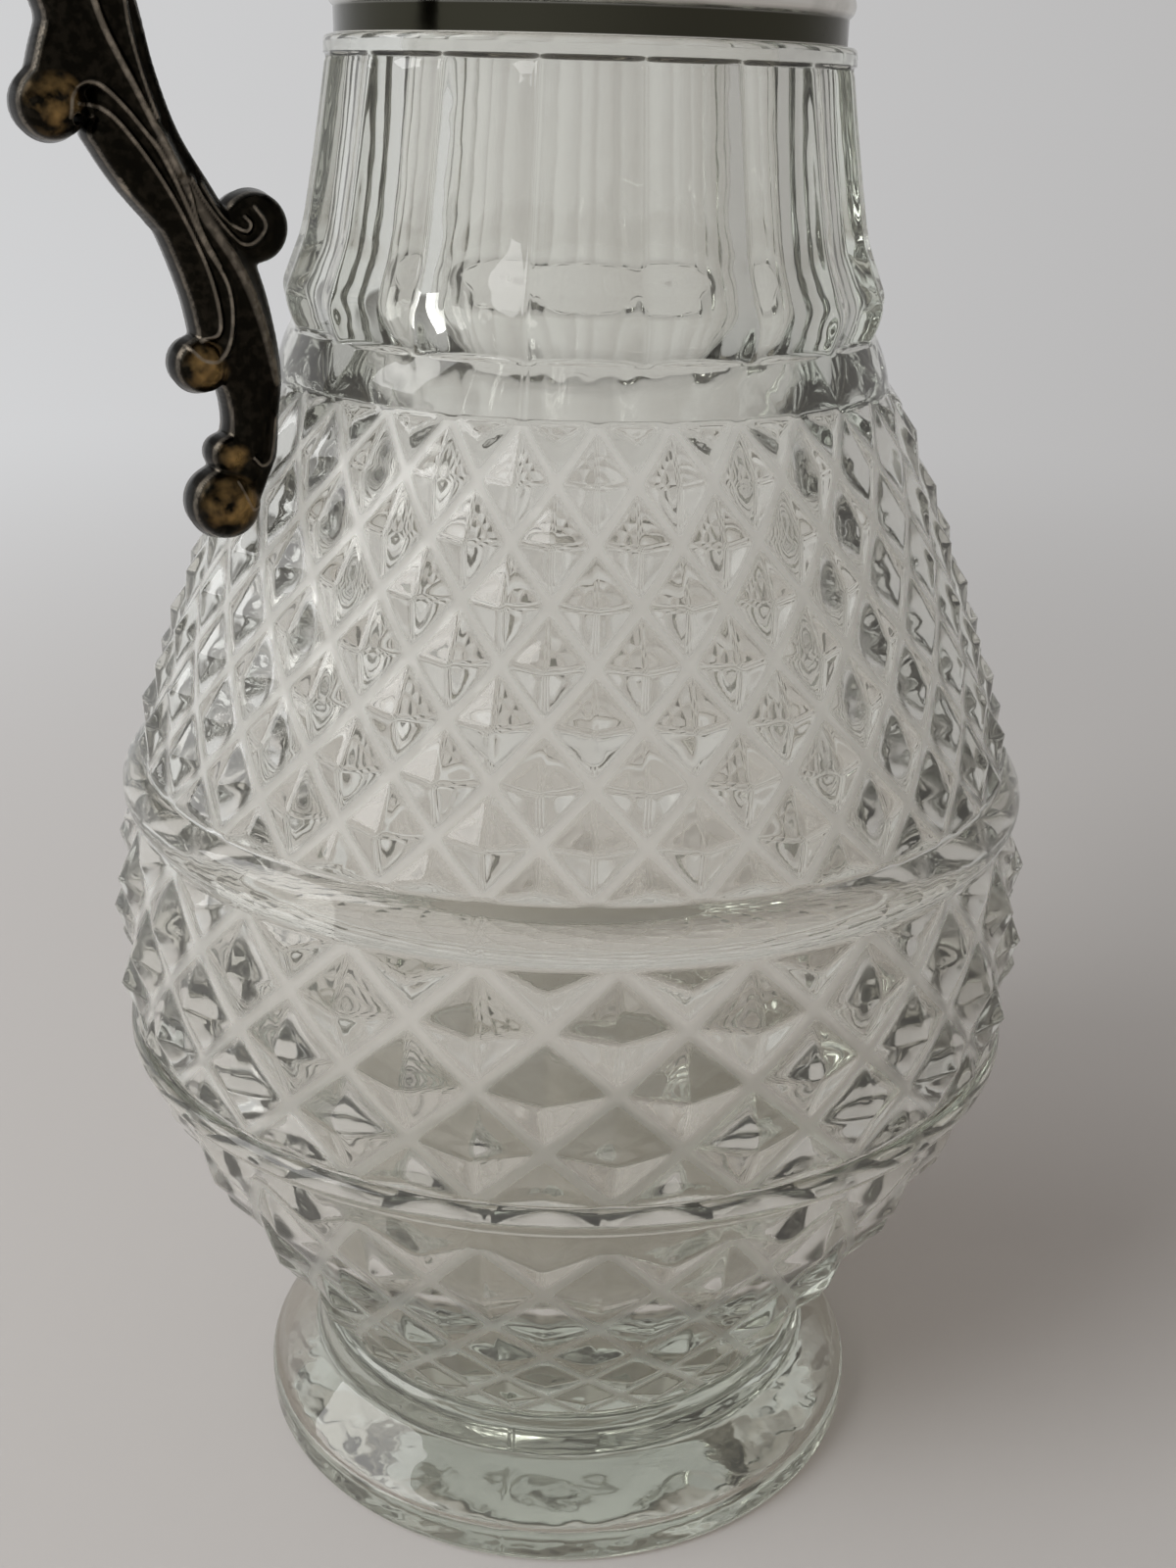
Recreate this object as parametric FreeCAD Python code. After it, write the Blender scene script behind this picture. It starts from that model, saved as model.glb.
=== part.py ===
import FreeCAD, Part
import math
import os

# Pressed-glass jug with a plated metal mount, in millimetres and degrees.
# The origin lies on the jug's axis in the plane it stands on.
# +Z is up, the handle is toward -X and the beak toward +X.

# Clearances and overruns
OVERRUN = 2.0
SEAT_GAP = 0.05
MOVING_GAP = 0.4
PIN_CLEARANCE = 0.05

# Foot and stem of the glass: each size goes on from the one before
STEM_RADIUS = 36.5
FOOT_SPREAD = 6.1
FOOT_EDGE = 1.4
FOOT_CHAMFER = 0.8
FOOT_EDGE_HEIGHT = 4.4
FOOT_EDGE_RISE = 0.8
FOOT_RISE = 6.0
STEM_RISE = 5.8
STEM_BEVEL = 1.5

# Widths of the glass: the neck from the bore out, the body from the belly in
BORE_RADIUS = 22.4
FINISH_WALL = 3.8
SEAT_WIDTH = 5.3
SHOULDER_WIDTH = 8.4
BELLY_RADIUS = 62.0
BELLY_TAPER = 1.0
SHOULDER_STEP = 1.7
UNDER_STEP = 1.6
STEM_STEP = 0.3

# Heights of the glass: each stage stands on the one before
UNDER_RISE = 43.0
LIP_RISE = 6.8
BELLY_RISE = 29.7
WAIST_RISE = 6.7
SHOULDER_RISE = 48.0
SLOPE_RISE = 5.8
NECK_RISE = 30.5
SEAT_RISE = 2.1
FINISH_RISE = 14.4

# Pressed diamonds under the belly, round the belly and on the shoulder
UNDER_BULGE = 0.9
UNDER_RELIEF = 2.4
UNDER_COUNT = 24
UNDER_ROWS = 6
UNDER_GROWTH_SHARE = 1.8
BELLY_BULGE = 1.0
BELLY_RELIEF = 2.8
BELLY_COUNT = 24
BELLY_ROWS = 4
SHOULDER_BULGE = 1.1
SHOULDER_RELIEF = 2.4
SHOULDER_COUNT = 30
SHOULDER_ROWS = 8
EDGE_POINT_SHARE = 0.36
PATTERN_TURN = 226.0

# Smooth bands between the diamonds; the lip over the lower ones is undercut
BAND_COVER = 0.3
COVE_RISE = 2.2
LIP_EDGE_RISE = 4.0
LIP_PROUD = 2.6
LIP_SWELL = 0.9
WAIST_SWELL = 2.2
SLOPE_SWELL = 0.3

# Fluted neck of the glass
NECK_FLUTES = 18
FLUTE_DEPTH = 0.8
NECK_HEIGHT_SHARES = (0.0, 0.066, 0.14, 0.23, 0.36, 0.557, 0.787, 1.0)
NECK_RADIUS_SHARES = (1.150, 1.176, 1.187, 1.156, 1.108, 1.070, 1.032, 1.0)

# Plain end of the glass, which the collar is set on
SEAT_EDGE = 1.2
FINISH_EDGE = 1.0

# Hollow of the glass
WALL = 4.6
FLOOR_RISE = 9.0
FLOOR_RADIUS = 20.0
UNDER_HOLLOW_SHARES = (0.55, 0.9)
BELLY_HOLLOW_SHARES = (0.5,)
SHOULDER_HOLLOW_SHARES = (0.1, 0.5, 0.85)
THROAT_HEIGHT_SHARES = (0.03, 0.30, 0.64)
THROAT_WIDTH_SHARES = (0.40, 0.13, 0.02)

# Setting compound between glass and collar
BED_THICKNESS = 1.8
BED_BOTTOM_GAP = 0.4
BED_TOP_DROP = 1.0

# Collar
COLLAR_WALL = 2.2
COLLAR_BAND = 3.0
COLLAR_BEAD_RADIUS = 1.4
COLLAR_BEAD_PROUD = 0.7
COLLAR_RISE = 9.4

# Pouring neck: a round sheet wall drawn out into a beak
SHEET = 1.2
POUR_STEP = 1.65
POUR_RISE = 31.0
BEAK_REACH = 18.0
BEAK_TIP_RADIUS = 2.6
POUR_HEIGHT_SHARES = (0.0, 0.18, 0.42, 0.68, 0.87, 1.0)
POUR_RADIUS_SHARES = (1.0, 0.99, 0.995, 1.026, 1.072, 1.111)
POUR_REACH_SHARES = (0.03, 0.07, 0.24, 0.52, 0.79, 1.0)
RIM_WIRE_RADIUS = 0.9
RIM_WIRE_DROP = 1.3
RIM_WIRE_EDGE = 0.8

# Lid
LID_GAP = 0.4
LID_OVERHANG = 0.7
LID_FLANGE = 1.2
LID_RISE = 16.0
LID_HEIGHT_SHARES = (0.0, 0.28, 0.58, 0.83, 1.0)
LID_RADIUS_SHARES = (0.96, 0.88, 0.68, 0.42, 0.17)
LID_REACH_SHARES = (0.95, 0.80, 0.46, 0.14, 0.03)
BEZEL_WALL = 1.0
BEZEL_DEPTH = 3.6
BEZEL_CLEARANCE = 2.2

# Lid hinge
HINGE_BACK = 4.6
HINGE_RISE = 2.9
KNUCKLE_RADIUS = 2.6
PIN_RADIUS = 1.1
PIN_HEAD_RADIUS = 1.9
PIN_HEAD = 0.9
MOVING_KNUCKLE = 8.0
FIXED_KNUCKLE = 5.0
BLOCK_DROP = 13.0
LEAF_THICKNESS = 1.8
LEAF_REACH = 11.0

# Thumbpiece
THUMB_HEIGHT = 19.0
THUMB_WIDTH = 11.0
THUMB_THICKNESS = 2.4
THUMB_FOOT = 5.2
THUMB_SWAY = 2.2
THUMB_ROLL_RADIUS = 2.3

# Finial with its stud, washer and nut
FINIAL_RADIUS = 6.4
FINIAL_HEIGHT = 21.0
FINIAL_BASE_SHARES = ((0.0, 0.0), (0.88, 0.0), (0.88, 0.06), (0.74, 0.09))
FINIAL_COVE_SHARES = ((0.74, 0.09), (0.49, 0.145), (0.40, 0.24))
FINIAL_RING_SHARES = ((0.40, 0.24), (0.56, 0.285), (0.40, 0.33))
FINIAL_BUD_SHARES = ((0.40, 0.33), (0.78, 0.43), (1.0, 0.57), (0.82, 0.72), (0.44, 0.83), (0.24, 0.88))
FINIAL_TIP_RADIUS = 1.8
STUD_RADIUS = 1.8
STUD_LENGTH = 7.0
WASHER_RADIUS = 4.4
WASHER_THICKNESS = 0.8
NUT_RADIUS = 3.9
NUT_HEIGHT = 2.4
NUT_SIDES = 6

# Cast scroll handle, drawn in the plane through the jug's axis.
# Reaches are measured out from the axis and heights up from the table, as shares of the handle's two sizes,
# which follow from where its top meets the mount and its end clears the glass.
HANDLE_DROP = 5.0
HANDLE_CLEARANCE = 0.1
HANDLE_END_SHARE = 0.660
HANDLE_WIDTH = 9.4
HANDLE_THICKNESS = 8.4
HANDLE_REACH_SHARES = (
    0.400, 0.478, 0.560, 0.660, 0.785, 0.880, 0.930, 0.938, 0.893, 0.858,
    0.813, 0.760, 0.708, 0.685, 0.664, 0.662, 0.668, 0.684,
)
HANDLE_HEIGHT_SHARES = (
    0.946, 0.958, 0.970, 0.980, 0.972, 0.951, 0.921, 0.889, 0.850, 0.818,
    0.789, 0.762, 0.729, 0.703, 0.682, 0.662, 0.644, 0.626,
)
HANDLE_WIDTH_SHARES = (
    1.25, 1.10, 0.98, 0.94, 0.94, 0.96, 0.98, 1.00, 1.00, 0.86,
    0.72, 0.74, 0.88, 0.90, 0.72, 0.58, 0.58, 0.52,
)
HANDLE_THICKNESS_SHARES = (
    1.20, 1.05, 0.95, 0.92, 0.92, 0.94, 0.96, 1.00, 1.00, 0.96,
    0.92, 0.90, 0.90, 0.88, 0.82, 0.78, 0.78, 0.70,
)
SECTION_POINTS = 16
SECTION_SQUARE_SHARE = 0.75

# Scroll ends of the handle: place as shares, radius and rounding in millimetres
SCROLL_EDGE = 1.3
TOP_CURL_RADIUS = 4.4
OUTER_CURL_RADIUS = 4.0
INNER_CURL_RADIUS = 3.7
MIDDLE_CURL_RADIUS = 3.1
BEAD_CURL_RADIUS = 1.9
END_CURL_RADIUS = 4.0
TOP_CURL_SHARES = (0.945, 0.947)
OUTER_CURL_SHARES = (0.948, 0.806)
INNER_CURL_SHARES = (0.648, 0.753)
MIDDLE_CURL_SHARES = (0.748, 0.689)
BEAD_CURL_SHARES = (0.708, 0.6445)
END_CURL_SHARES = (0.718, 0.620)
HORN_REACH_SHARES = (0.905, 0.930, 0.944)
HORN_HEIGHT_SHARES = (0.842, 0.826, 0.810)
HORN_WIDTH_SHARES = (0.72, 0.70, 0.74)

UP = FreeCAD.Vector(0, 0, 1)
AXIS_POINT = FreeCAD.Vector(0, 0, 0)

# Places worked out from the sizes above
FOOT_SHELF_RADIUS = STEM_RADIUS + FOOT_SPREAD
FOOT_RADIUS = FOOT_SHELF_RADIUS + FOOT_EDGE
FOOT_SHELF_HEIGHT = FOOT_EDGE_HEIGHT + FOOT_EDGE_RISE
STEM_LOW = FOOT_SHELF_HEIGHT + FOOT_RISE
FINISH_RADIUS = BORE_RADIUS + FINISH_WALL
NECK_RADIUS = FINISH_RADIUS + SEAT_WIDTH
UNDER_LOW = STEM_LOW + STEM_RISE
UNDER_HIGH = UNDER_LOW + UNDER_RISE
BELLY_LOW = UNDER_HIGH + LIP_RISE
BELLY_HIGH = BELLY_LOW + BELLY_RISE
SHOULDER_LOW = BELLY_HIGH + WAIST_RISE
SHOULDER_HIGH = SHOULDER_LOW + SHOULDER_RISE
NECK_LOW = SHOULDER_HIGH + SLOPE_RISE
NECK_HIGH = NECK_LOW + NECK_RISE
SEAT_HEIGHT = NECK_HIGH + SEAT_RISE
FINISH_TOP = SEAT_HEIGHT + FINISH_RISE
FLOOR_HEIGHT = UNDER_LOW + FLOOR_RISE
COLLAR_INNER = FINISH_RADIUS + BED_THICKNESS + SEAT_GAP
COLLAR_OUTER = COLLAR_INNER + COLLAR_WALL
COLLAR_TOP = SEAT_HEIGHT + COLLAR_RISE
POUR_RADIUS = COLLAR_INNER + POUR_STEP
RIM_HEIGHT = COLLAR_TOP + POUR_RISE
RIM_RADIUS = POUR_RADIUS * POUR_RADIUS_SHARES[-1]
LID_LOW = RIM_HEIGHT + LID_GAP
LID_BASE = LID_LOW + LID_FLANGE
LID_TOP = LID_BASE + LID_RISE
LID_RADIUS = RIM_RADIUS + LID_OVERHANG
BEZEL_RADIUS = RIM_RADIUS - SHEET - BEZEL_CLEARANCE
HINGE_X = -(RIM_RADIUS + HINGE_BACK)
HINGE_Z = RIM_HEIGHT + HINGE_RISE
HINGE_SPAN = MOVING_KNUCKLE + 2 * MOVING_GAP + 2 * FIXED_KNUCKLE
HANDLE_HEIGHT = RIM_HEIGHT - HANDLE_DROP


def polar(radius, angle, height):
    """Point at an angle round the jug's axis."""
    return FreeCAD.Vector(radius * math.cos(angle), radius * math.sin(angle), height)


class Zone:
    """A ring of pressed diamonds: points on a slightly bulged cone, with grooves between them."""

    def __init__(self, low, high, low_radius, high_radius, bulge, relief, count, rows, growth_share=1.0):
        self.low, self.high = low, high
        self.low_radius, self.high_radius = low_radius, high_radius
        self.bulge, self.relief = bulge, relief
        self.count, self.rows, self.growth_share = count, rows, growth_share

    def row_share(self, row):
        """Height of a row as a share of the zone, with rows that grow evenly from the bottom up."""
        steps = [self.growth_share ** (i / (self.rows - 1)) for i in range(self.rows)]
        return sum(steps[:row]) / sum(steps)

    def radius(self, share):
        """Radius over the points at a share of the zone's height."""
        cone = self.low_radius + (self.high_radius - self.low_radius) * share
        return cone + self.bulge * 4 * share * (1 - share)

    def height(self, share):
        return self.low + (self.high - self.low) * share

    def depth(self, share):
        """Groove depth, in step with the size of the diamonds."""
        return self.relief * self.radius(share) / max(self.low_radius, self.high_radius)

    def groove(self, share):
        """Radius at the bottom of the grooves."""
        return self.radius(share) - self.depth(share)

    def point_place(self, row):
        """Height share of a row's points and how far they fall short: end rows have low ones."""
        share = self.row_share(row)
        if row == 0:
            return share + EDGE_POINT_SHARE * (self.row_share(1) - share), EDGE_POINT_SHARE
        if row == self.rows:
            return share - EDGE_POINT_SHARE * (share - self.row_share(row - 1)), EDGE_POINT_SHARE
        return share, 0

    def ring(self, row):
        """Corners of one row: groove crossings and points in turn."""
        corners = []
        for index in range(2 * self.count):
            share = self.row_share(row)
            radius = self.groove(share)
            if (index + row) % 2:
                share, shortfall = self.point_place(row)
                radius = self.radius(share) - shortfall * self.depth(share)
            angle = math.radians(PATTERN_TURN + 180.0 * index / self.count)
            corners.append(polar(radius, angle, self.height(share)))
        return corners

    def crossings(self, row):
        """Groove crossings of one row, as a closed polygon."""
        corners = self.ring(row)[row % 2::2]
        return corners + corners[:1]


def zones():
    """The three diamond zones, from the foot up."""
    belly_top_radius = BELLY_RADIUS - BELLY_TAPER
    under = Zone(UNDER_LOW, UNDER_HIGH, STEM_RADIUS - STEM_STEP, BELLY_RADIUS - UNDER_STEP, UNDER_BULGE,
                 UNDER_RELIEF, UNDER_COUNT, UNDER_ROWS, UNDER_GROWTH_SHARE)
    belly = Zone(BELLY_LOW, BELLY_HIGH, BELLY_RADIUS, belly_top_radius, BELLY_BULGE, BELLY_RELIEF,
                 BELLY_COUNT, BELLY_ROWS)
    shoulder = Zone(SHOULDER_LOW, SHOULDER_HIGH, belly_top_radius - SHOULDER_STEP,
                    NECK_RADIUS + SHOULDER_WIDTH, SHOULDER_BULGE, SHOULDER_RELIEF, SHOULDER_COUNT,
                    SHOULDER_ROWS)
    return under, belly, shoulder


def at(radius, height):
    """Point of a profile that is turned about the jug's axis."""
    return FreeCAD.Vector(radius, 0, height)


def line(start, end):
    return Part.LineSegment(start, end).toShape()


def arc(start, middle, end):
    return Part.Arc(start, middle, end).toShape()


def spline(points):
    curve = Part.BSplineCurve()
    curve.interpolate(points)
    return curve.toShape()


def turned(edges, centre=AXIS_POINT):
    """Solid of revolution of a closed run of edges about a vertical axis."""
    face = Part.Face(Part.Wire(edges))
    return face.revolve(centre, UP, 360)


def turned_polygon(points):
    return turned([line(a, b) for a, b in zip(points, points[1:] + points[:1])])


def tube(inner, outer, low, high):
    """Plain ring about the jug's axis."""
    return turned_polygon([at(inner, low), at(outer, low), at(outer, high), at(inner, high)])


def prism(points, width):
    """Outline in the XZ plane, drawn out evenly to both sides."""
    shift = FreeCAD.Vector(0, -width / 2, 0)
    face = Part.Face(Part.makePolygon([p + shift for p in points + points[:1]]))
    return face.extrude(FreeCAD.Vector(0, width, 0))


def rod(radius, length, x, z):
    """Round bar along Y, centred on the plane of symmetry."""
    return Part.makeCylinder(radius, length, FreeCAD.Vector(x, -length / 2, z), FreeCAD.Vector(0, 1, 0))


def triangle(a, b, c):
    return Part.Face(Part.makePolygon([a, b, c, a]))


def diamond_solid(zone):
    """Faceted solid of one zone, split along the grooves and closed by flat ends."""
    rings = [zone.ring(row) for row in range(zone.rows + 1)]
    size = 2 * zone.count
    faces = []
    for row in (0, zone.rows):
        ends = zone.crossings(row)
        faces.append(Part.Face(Part.makePolygon(ends)))
        points = rings[row][1 - row % 2::2]
        points = points[row % 2:] + points[:row % 2]
        faces += [triangle(a, b, point) for a, b, point in zip(ends, ends[1:], points)]
    for row in range(zone.rows):
        low, high = rings[row], rings[row + 1]
        for index in range(size):
            after = (index + 1) % size
            if (index + row) % 2:
                faces.append(triangle(low[index], low[after], high[index]))
                faces.append(triangle(high[after], high[index], low[after]))
            else:
                faces.append(triangle(low[index], low[after], high[after]))
                faces.append(triangle(high[after], high[index], low[index]))
    return Part.makeSolid(Part.makeShell(faces))


def foot():
    """Bevelled foot and the plain stem band above it."""
    return turned_polygon([
        at(0, 0), at(FOOT_RADIUS - FOOT_CHAMFER, 0), at(FOOT_RADIUS, FOOT_CHAMFER),
        at(FOOT_RADIUS, FOOT_EDGE_HEIGHT), at(FOOT_SHELF_RADIUS, FOOT_SHELF_HEIGHT),
        at(STEM_RADIUS, STEM_LOW), at(STEM_RADIUS, UNDER_LOW - STEM_BEVEL),
        at(zones()[0].groove(0) + BAND_COVER, UNDER_LOW), at(0, UNDER_LOW),
    ])


def filled_band(edges):
    """Solid of revolution between an outer run of edges and the axis."""
    low, high = edges[0].Vertexes[0].Point, edges[-1].Vertexes[-1].Point
    axis_low, axis_high = at(0, low.z), at(0, high.z)
    return turned(edges + [line(high, axis_high), line(axis_high, axis_low), line(axis_low, low)])


def swollen(low, high, swell):
    """Arc from one profile point up to the next."""
    return arc(low, (low + high) / 2 + FreeCAD.Vector(swell, 0, 0), high)


def lip_band(under, belly):
    """Undercut lip that hangs over the lower diamonds."""
    low = at(under.groove(1) + BAND_COVER, under.high)
    cove = at(low.x, low.z + COVE_RISE)
    edge = at(low.x + LIP_PROUD, low.z + LIP_EDGE_RISE)
    high = at(belly.groove(0) + BAND_COVER, belly.low)
    return filled_band([line(low, cove), line(cove, edge), swollen(edge, high, LIP_SWELL)])


def waist_band(belly, shoulder):
    """Rounded band between the belly and the shoulder."""
    low = at(belly.groove(1) + BAND_COVER, belly.high)
    high = at(shoulder.groove(0) + BAND_COVER, shoulder.low)
    return filled_band([swollen(low, high, WAIST_SWELL)])


def slope_band(shoulder):
    """Smooth slope from the top diamonds in to the neck."""
    low = at(shoulder.groove(1) + BAND_COVER, shoulder.high)
    high = at(NECK_RADIUS * NECK_RADIUS_SHARES[0] + BAND_COVER, NECK_LOW)
    return filled_band([swollen(low, high, SLOPE_SWELL)])


def flute_wire(radius, height):
    """One level of the neck: hollow arcs between the ridges."""
    hollow = radius * math.cos(math.pi / NECK_FLUTES) - FLUTE_DEPTH
    edges = []
    for index in range(NECK_FLUTES):
        start, end = flute_angle(index), flute_angle(index + 1)
        middle = (start + end) / 2
        ridge, valley = polar(radius, start, height), polar(hollow, middle, height)
        edges.append(arc(ridge, valley, polar(radius, end, height)))
    return Part.Wire(edges)


def flute_angle(index):
    return math.radians(PATTERN_TURN + 360.0 * index / NECK_FLUTES)


def fluted_neck():
    rise = NECK_HIGH - NECK_LOW
    levels = zip(NECK_HEIGHT_SHARES, NECK_RADIUS_SHARES)
    wires = [flute_wire(NECK_RADIUS * radius, NECK_LOW + rise * height) for height, radius in levels]
    return Part.makeLoft(wires, True, True)


def neck_top():
    """Round end of the neck with the seat and the plain finish inside the collar."""
    outer = NECK_RADIUS + BAND_COVER
    return turned_polygon([
        at(0, NECK_HIGH), at(outer, NECK_HIGH), at(outer, SEAT_HEIGHT - SEAT_EDGE),
        at(outer - SEAT_EDGE, SEAT_HEIGHT), at(FINISH_RADIUS, SEAT_HEIGHT),
        at(FINISH_RADIUS, FINISH_TOP - FINISH_EDGE), at(FINISH_RADIUS - FINISH_EDGE, FINISH_TOP),
        at(0, FINISH_TOP),
    ])


def inside_point(zone, share):
    """Point of the hollow, a wall inside the grooves of a zone."""
    return at(zone.groove(share) - WALL, zone.height(share))


def hollow():
    """Smooth hollow that follows the outside a wall away."""
    under, belly, shoulder = zones()
    belly_run = [at(FLOOR_RADIUS, FLOOR_HEIGHT)]
    for zone, shares in ((under, UNDER_HOLLOW_SHARES), (belly, BELLY_HOLLOW_SHARES),
                         (shoulder, SHOULDER_HOLLOW_SHARES)):
        belly_run += [inside_point(zone, share) for share in shares]
    for height_share, width_share in zip(THROAT_HEIGHT_SHARES, THROAT_WIDTH_SHARES):
        width = BORE_RADIUS + (NECK_RADIUS - BORE_RADIUS) * width_share
        belly_run.append(at(width, NECK_LOW + (SEAT_HEIGHT - NECK_LOW) * height_share))
    belly_run.append(at(BORE_RADIUS, SEAT_HEIGHT))
    top = at(BORE_RADIUS, FINISH_TOP + OVERRUN)
    return turned([
        spline(belly_run), line(belly_run[-1], top), line(top, at(0, top.z)),
        line(at(0, top.z), at(0, FLOOR_HEIGHT)), line(at(0, FLOOR_HEIGHT), belly_run[0]),
    ])


def glass_body():
    under, belly, shoulder = zones()
    stages = [diamond_solid(under), lip_band(under, belly), diamond_solid(belly), waist_band(belly, shoulder),
              diamond_solid(shoulder), slope_band(shoulder), fluted_neck(), neck_top()]
    return foot().multiFuse(stages).cut(hollow())


def plaster_bedding():
    return tube(FINISH_RADIUS + SEAT_GAP, FINISH_RADIUS + BED_THICKNESS, SEAT_HEIGHT + BED_BOTTOM_GAP,
                FINISH_TOP - BED_TOP_DROP)


def collar():
    """Plain band with a half-round moulding, turned in one piece."""
    bead = SEAT_HEIGHT + COLLAR_BAND + COLLAR_BEAD_RADIUS
    low = at(COLLAR_OUTER, bead - COLLAR_BEAD_RADIUS)
    proud = at(COLLAR_OUTER + COLLAR_BEAD_PROUD, bead)
    high = at(COLLAR_OUTER, bead + COLLAR_BEAD_RADIUS)
    foot_point = at(COLLAR_OUTER, SEAT_HEIGHT)
    top_point = at(POUR_RADIUS + SEAT_GAP, COLLAR_TOP)
    inner_top = at(COLLAR_INNER, COLLAR_TOP)
    inner_low = at(COLLAR_INNER, SEAT_HEIGHT)
    return turned([line(inner_low, foot_point), line(foot_point, low), arc(low, proud, high),
                   line(high, top_point), line(top_point, inner_top), line(inner_top, inner_low)])


def beak_wire(radius, reach, height, tip_radius):
    """Level of the pouring neck: a circle drawn out into a round-ended beak toward +X."""
    distance = radius + reach - tip_radius
    angle = math.acos((radius - tip_radius) / distance)
    cos, sin = math.cos(angle), math.sin(angle)
    right = FreeCAD.Vector(radius * cos, -radius * sin, height)
    left = FreeCAD.Vector(radius * cos, radius * sin, height)
    tip_right = FreeCAD.Vector(distance + tip_radius * cos, -tip_radius * sin, height)
    tip_left = FreeCAD.Vector(distance + tip_radius * cos, tip_radius * sin, height)
    tip = FreeCAD.Vector(distance + tip_radius, 0, height)
    return Part.Wire([arc(left, FreeCAD.Vector(-radius, 0, height), right), line(right, tip_right),
                      arc(tip_right, tip, tip_left), line(tip_left, left)])


def pour_form(inset, overrun):
    """Loft of the pouring neck, drawn in by an inset and run on past both ends."""
    wires = []
    last = len(POUR_HEIGHT_SHARES) - 1
    for index, share in enumerate(POUR_HEIGHT_SHARES):
        height = COLLAR_TOP + POUR_RISE * share
        height += overrun * ((index == last) - (index == 0))
        radius = POUR_RADIUS * POUR_RADIUS_SHARES[index] - inset
        reach = BEAK_REACH * POUR_REACH_SHARES[index]
        wires.append(beak_wire(radius, reach, height, BEAK_TIP_RADIUS - inset))
    return Part.makeLoft(wires, True, False)


def pouring_neck():
    return pour_form(0, 0).cut(pour_form(SHEET, OVERRUN))


def rim_wire():
    """Half-round wire round the rim, outside the sheet."""
    low = RIM_HEIGHT - RIM_WIRE_DROP - RIM_WIRE_RADIUS
    band = [beak_wire(RIM_RADIUS + RIM_WIRE_RADIUS, BEAK_REACH, low, BEAK_TIP_RADIUS + RIM_WIRE_RADIUS)]
    solid = Part.Face(band).extrude(UP * (2 * RIM_WIRE_RADIUS))
    edges = [e for e in solid.Edges if e.BoundBox.ZLength < SEAT_GAP]
    return solid.makeFillet(RIM_WIRE_EDGE, edges).cut(pour_form(0, 0))


def lid_form(inset):
    """Domed loft of the lid, drawn in by an inset."""
    wires = []
    for index, share in enumerate(LID_HEIGHT_SHARES):
        height = LID_BASE + (LID_RISE - inset) * share
        radius = LID_RADIUS * LID_RADIUS_SHARES[index] - inset
        reach = BEAK_REACH * LID_REACH_SHARES[index]
        wires.append(beak_wire(radius, reach, height, BEAK_TIP_RADIUS - inset))
    return Part.makeLoft(wires, True, False)


def lid_flange():
    """Flat plate of the lid, which also closes the beak."""
    outline = Part.Face(beak_wire(LID_RADIUS, BEAK_REACH, LID_LOW, BEAK_TIP_RADIUS + LID_OVERHANG))
    return outline.extrude(UP * LID_FLANGE)


def lid():
    """Flange with a hollow dome on it, a round hole for the bezel and a small one for the finial."""
    dome = lid_form(0).cut(lid_form(SHEET))
    bezel_hole = Part.makeCylinder(BEZEL_RADIUS + SEAT_GAP, LID_FLANGE + 2 * OVERRUN,
                                   at(0, LID_LOW - OVERRUN))
    stud_hole = Part.makeCylinder(STUD_RADIUS + SEAT_GAP, 2 * LID_RISE, at(0, LID_LOW))
    return lid_flange().cut(bezel_hole).fuse(dome).cut(stud_hole)


def lid_bezel():
    """Ring in the lid's flange that drops into the mouth."""
    return tube(BEZEL_RADIUS - BEZEL_WALL, BEZEL_RADIUS, RIM_HEIGHT - BEZEL_DEPTH, LID_BASE)


def hinge_block():
    """Bracket at the back of the pouring neck with the two fixed knuckles."""
    wall = -(RIM_RADIUS - HINGE_BACK)
    back = HINGE_X - KNUCKLE_RADIUS
    front = HINGE_X + KNUCKLE_RADIUS
    shelf = RIM_HEIGHT - RIM_WIRE_DROP - 2 * RIM_WIRE_RADIUS - SEAT_GAP
    outline = [at(wall, HINGE_Z - BLOCK_DROP), at(back, HINGE_Z - KNUCKLE_RADIUS), at(back, HINGE_Z),
               at(front, HINGE_Z), at(front, shelf), at(wall, shelf)]
    block = prism(outline, HINGE_SPAN).fuse(rod(KNUCKLE_RADIUS, HINGE_SPAN, HINGE_X, HINGE_Z))
    middle = MOVING_KNUCKLE + 2 * MOVING_GAP
    sweep = KNUCKLE_RADIUS + LEAF_THICKNESS
    block = block.cut(rod(sweep, middle, HINGE_X, HINGE_Z))
    block = block.cut(rod(PIN_RADIUS + PIN_CLEARANCE, 2 * HINGE_SPAN, HINGE_X, HINGE_Z))
    return block.cut(pour_form(0, 0))


def hinge_pin():
    """Straight pin, riveted over at both ends."""
    pin = rod(PIN_RADIUS, HINGE_SPAN + 2 * PIN_HEAD, HINGE_X, HINGE_Z)
    for side in (-1, 1):
        start = FreeCAD.Vector(HINGE_X, side * (HINGE_SPAN / 2 + SEAT_GAP), HINGE_Z)
        outward = FreeCAD.Vector(0, side, 0)
        pin = pin.fuse(Part.makeCone(PIN_HEAD_RADIUS, PIN_RADIUS, PIN_HEAD, start, outward))
    return pin


def lid_leaf():
    """Moving knuckle and its strap, bedded on the lid."""
    strap = prism([at(HINGE_X, HINGE_Z), at(HINGE_X, LID_BASE), at(HINGE_X + LEAF_REACH, LID_BASE),
                   at(HINGE_X + LEAF_REACH, LID_BASE + LEAF_THICKNESS),
                   at(HINGE_X + KNUCKLE_RADIUS, leaf_top()), at(HINGE_X, leaf_top())], MOVING_KNUCKLE)
    leaf = strap.fuse(rod(KNUCKLE_RADIUS, MOVING_KNUCKLE, HINGE_X, HINGE_Z))
    leaf = leaf.cut(rod(PIN_RADIUS + PIN_CLEARANCE, 2 * HINGE_SPAN, HINGE_X, HINGE_Z))
    return leaf.cut(lid_flange().fuse(lid_form(0)))


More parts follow.
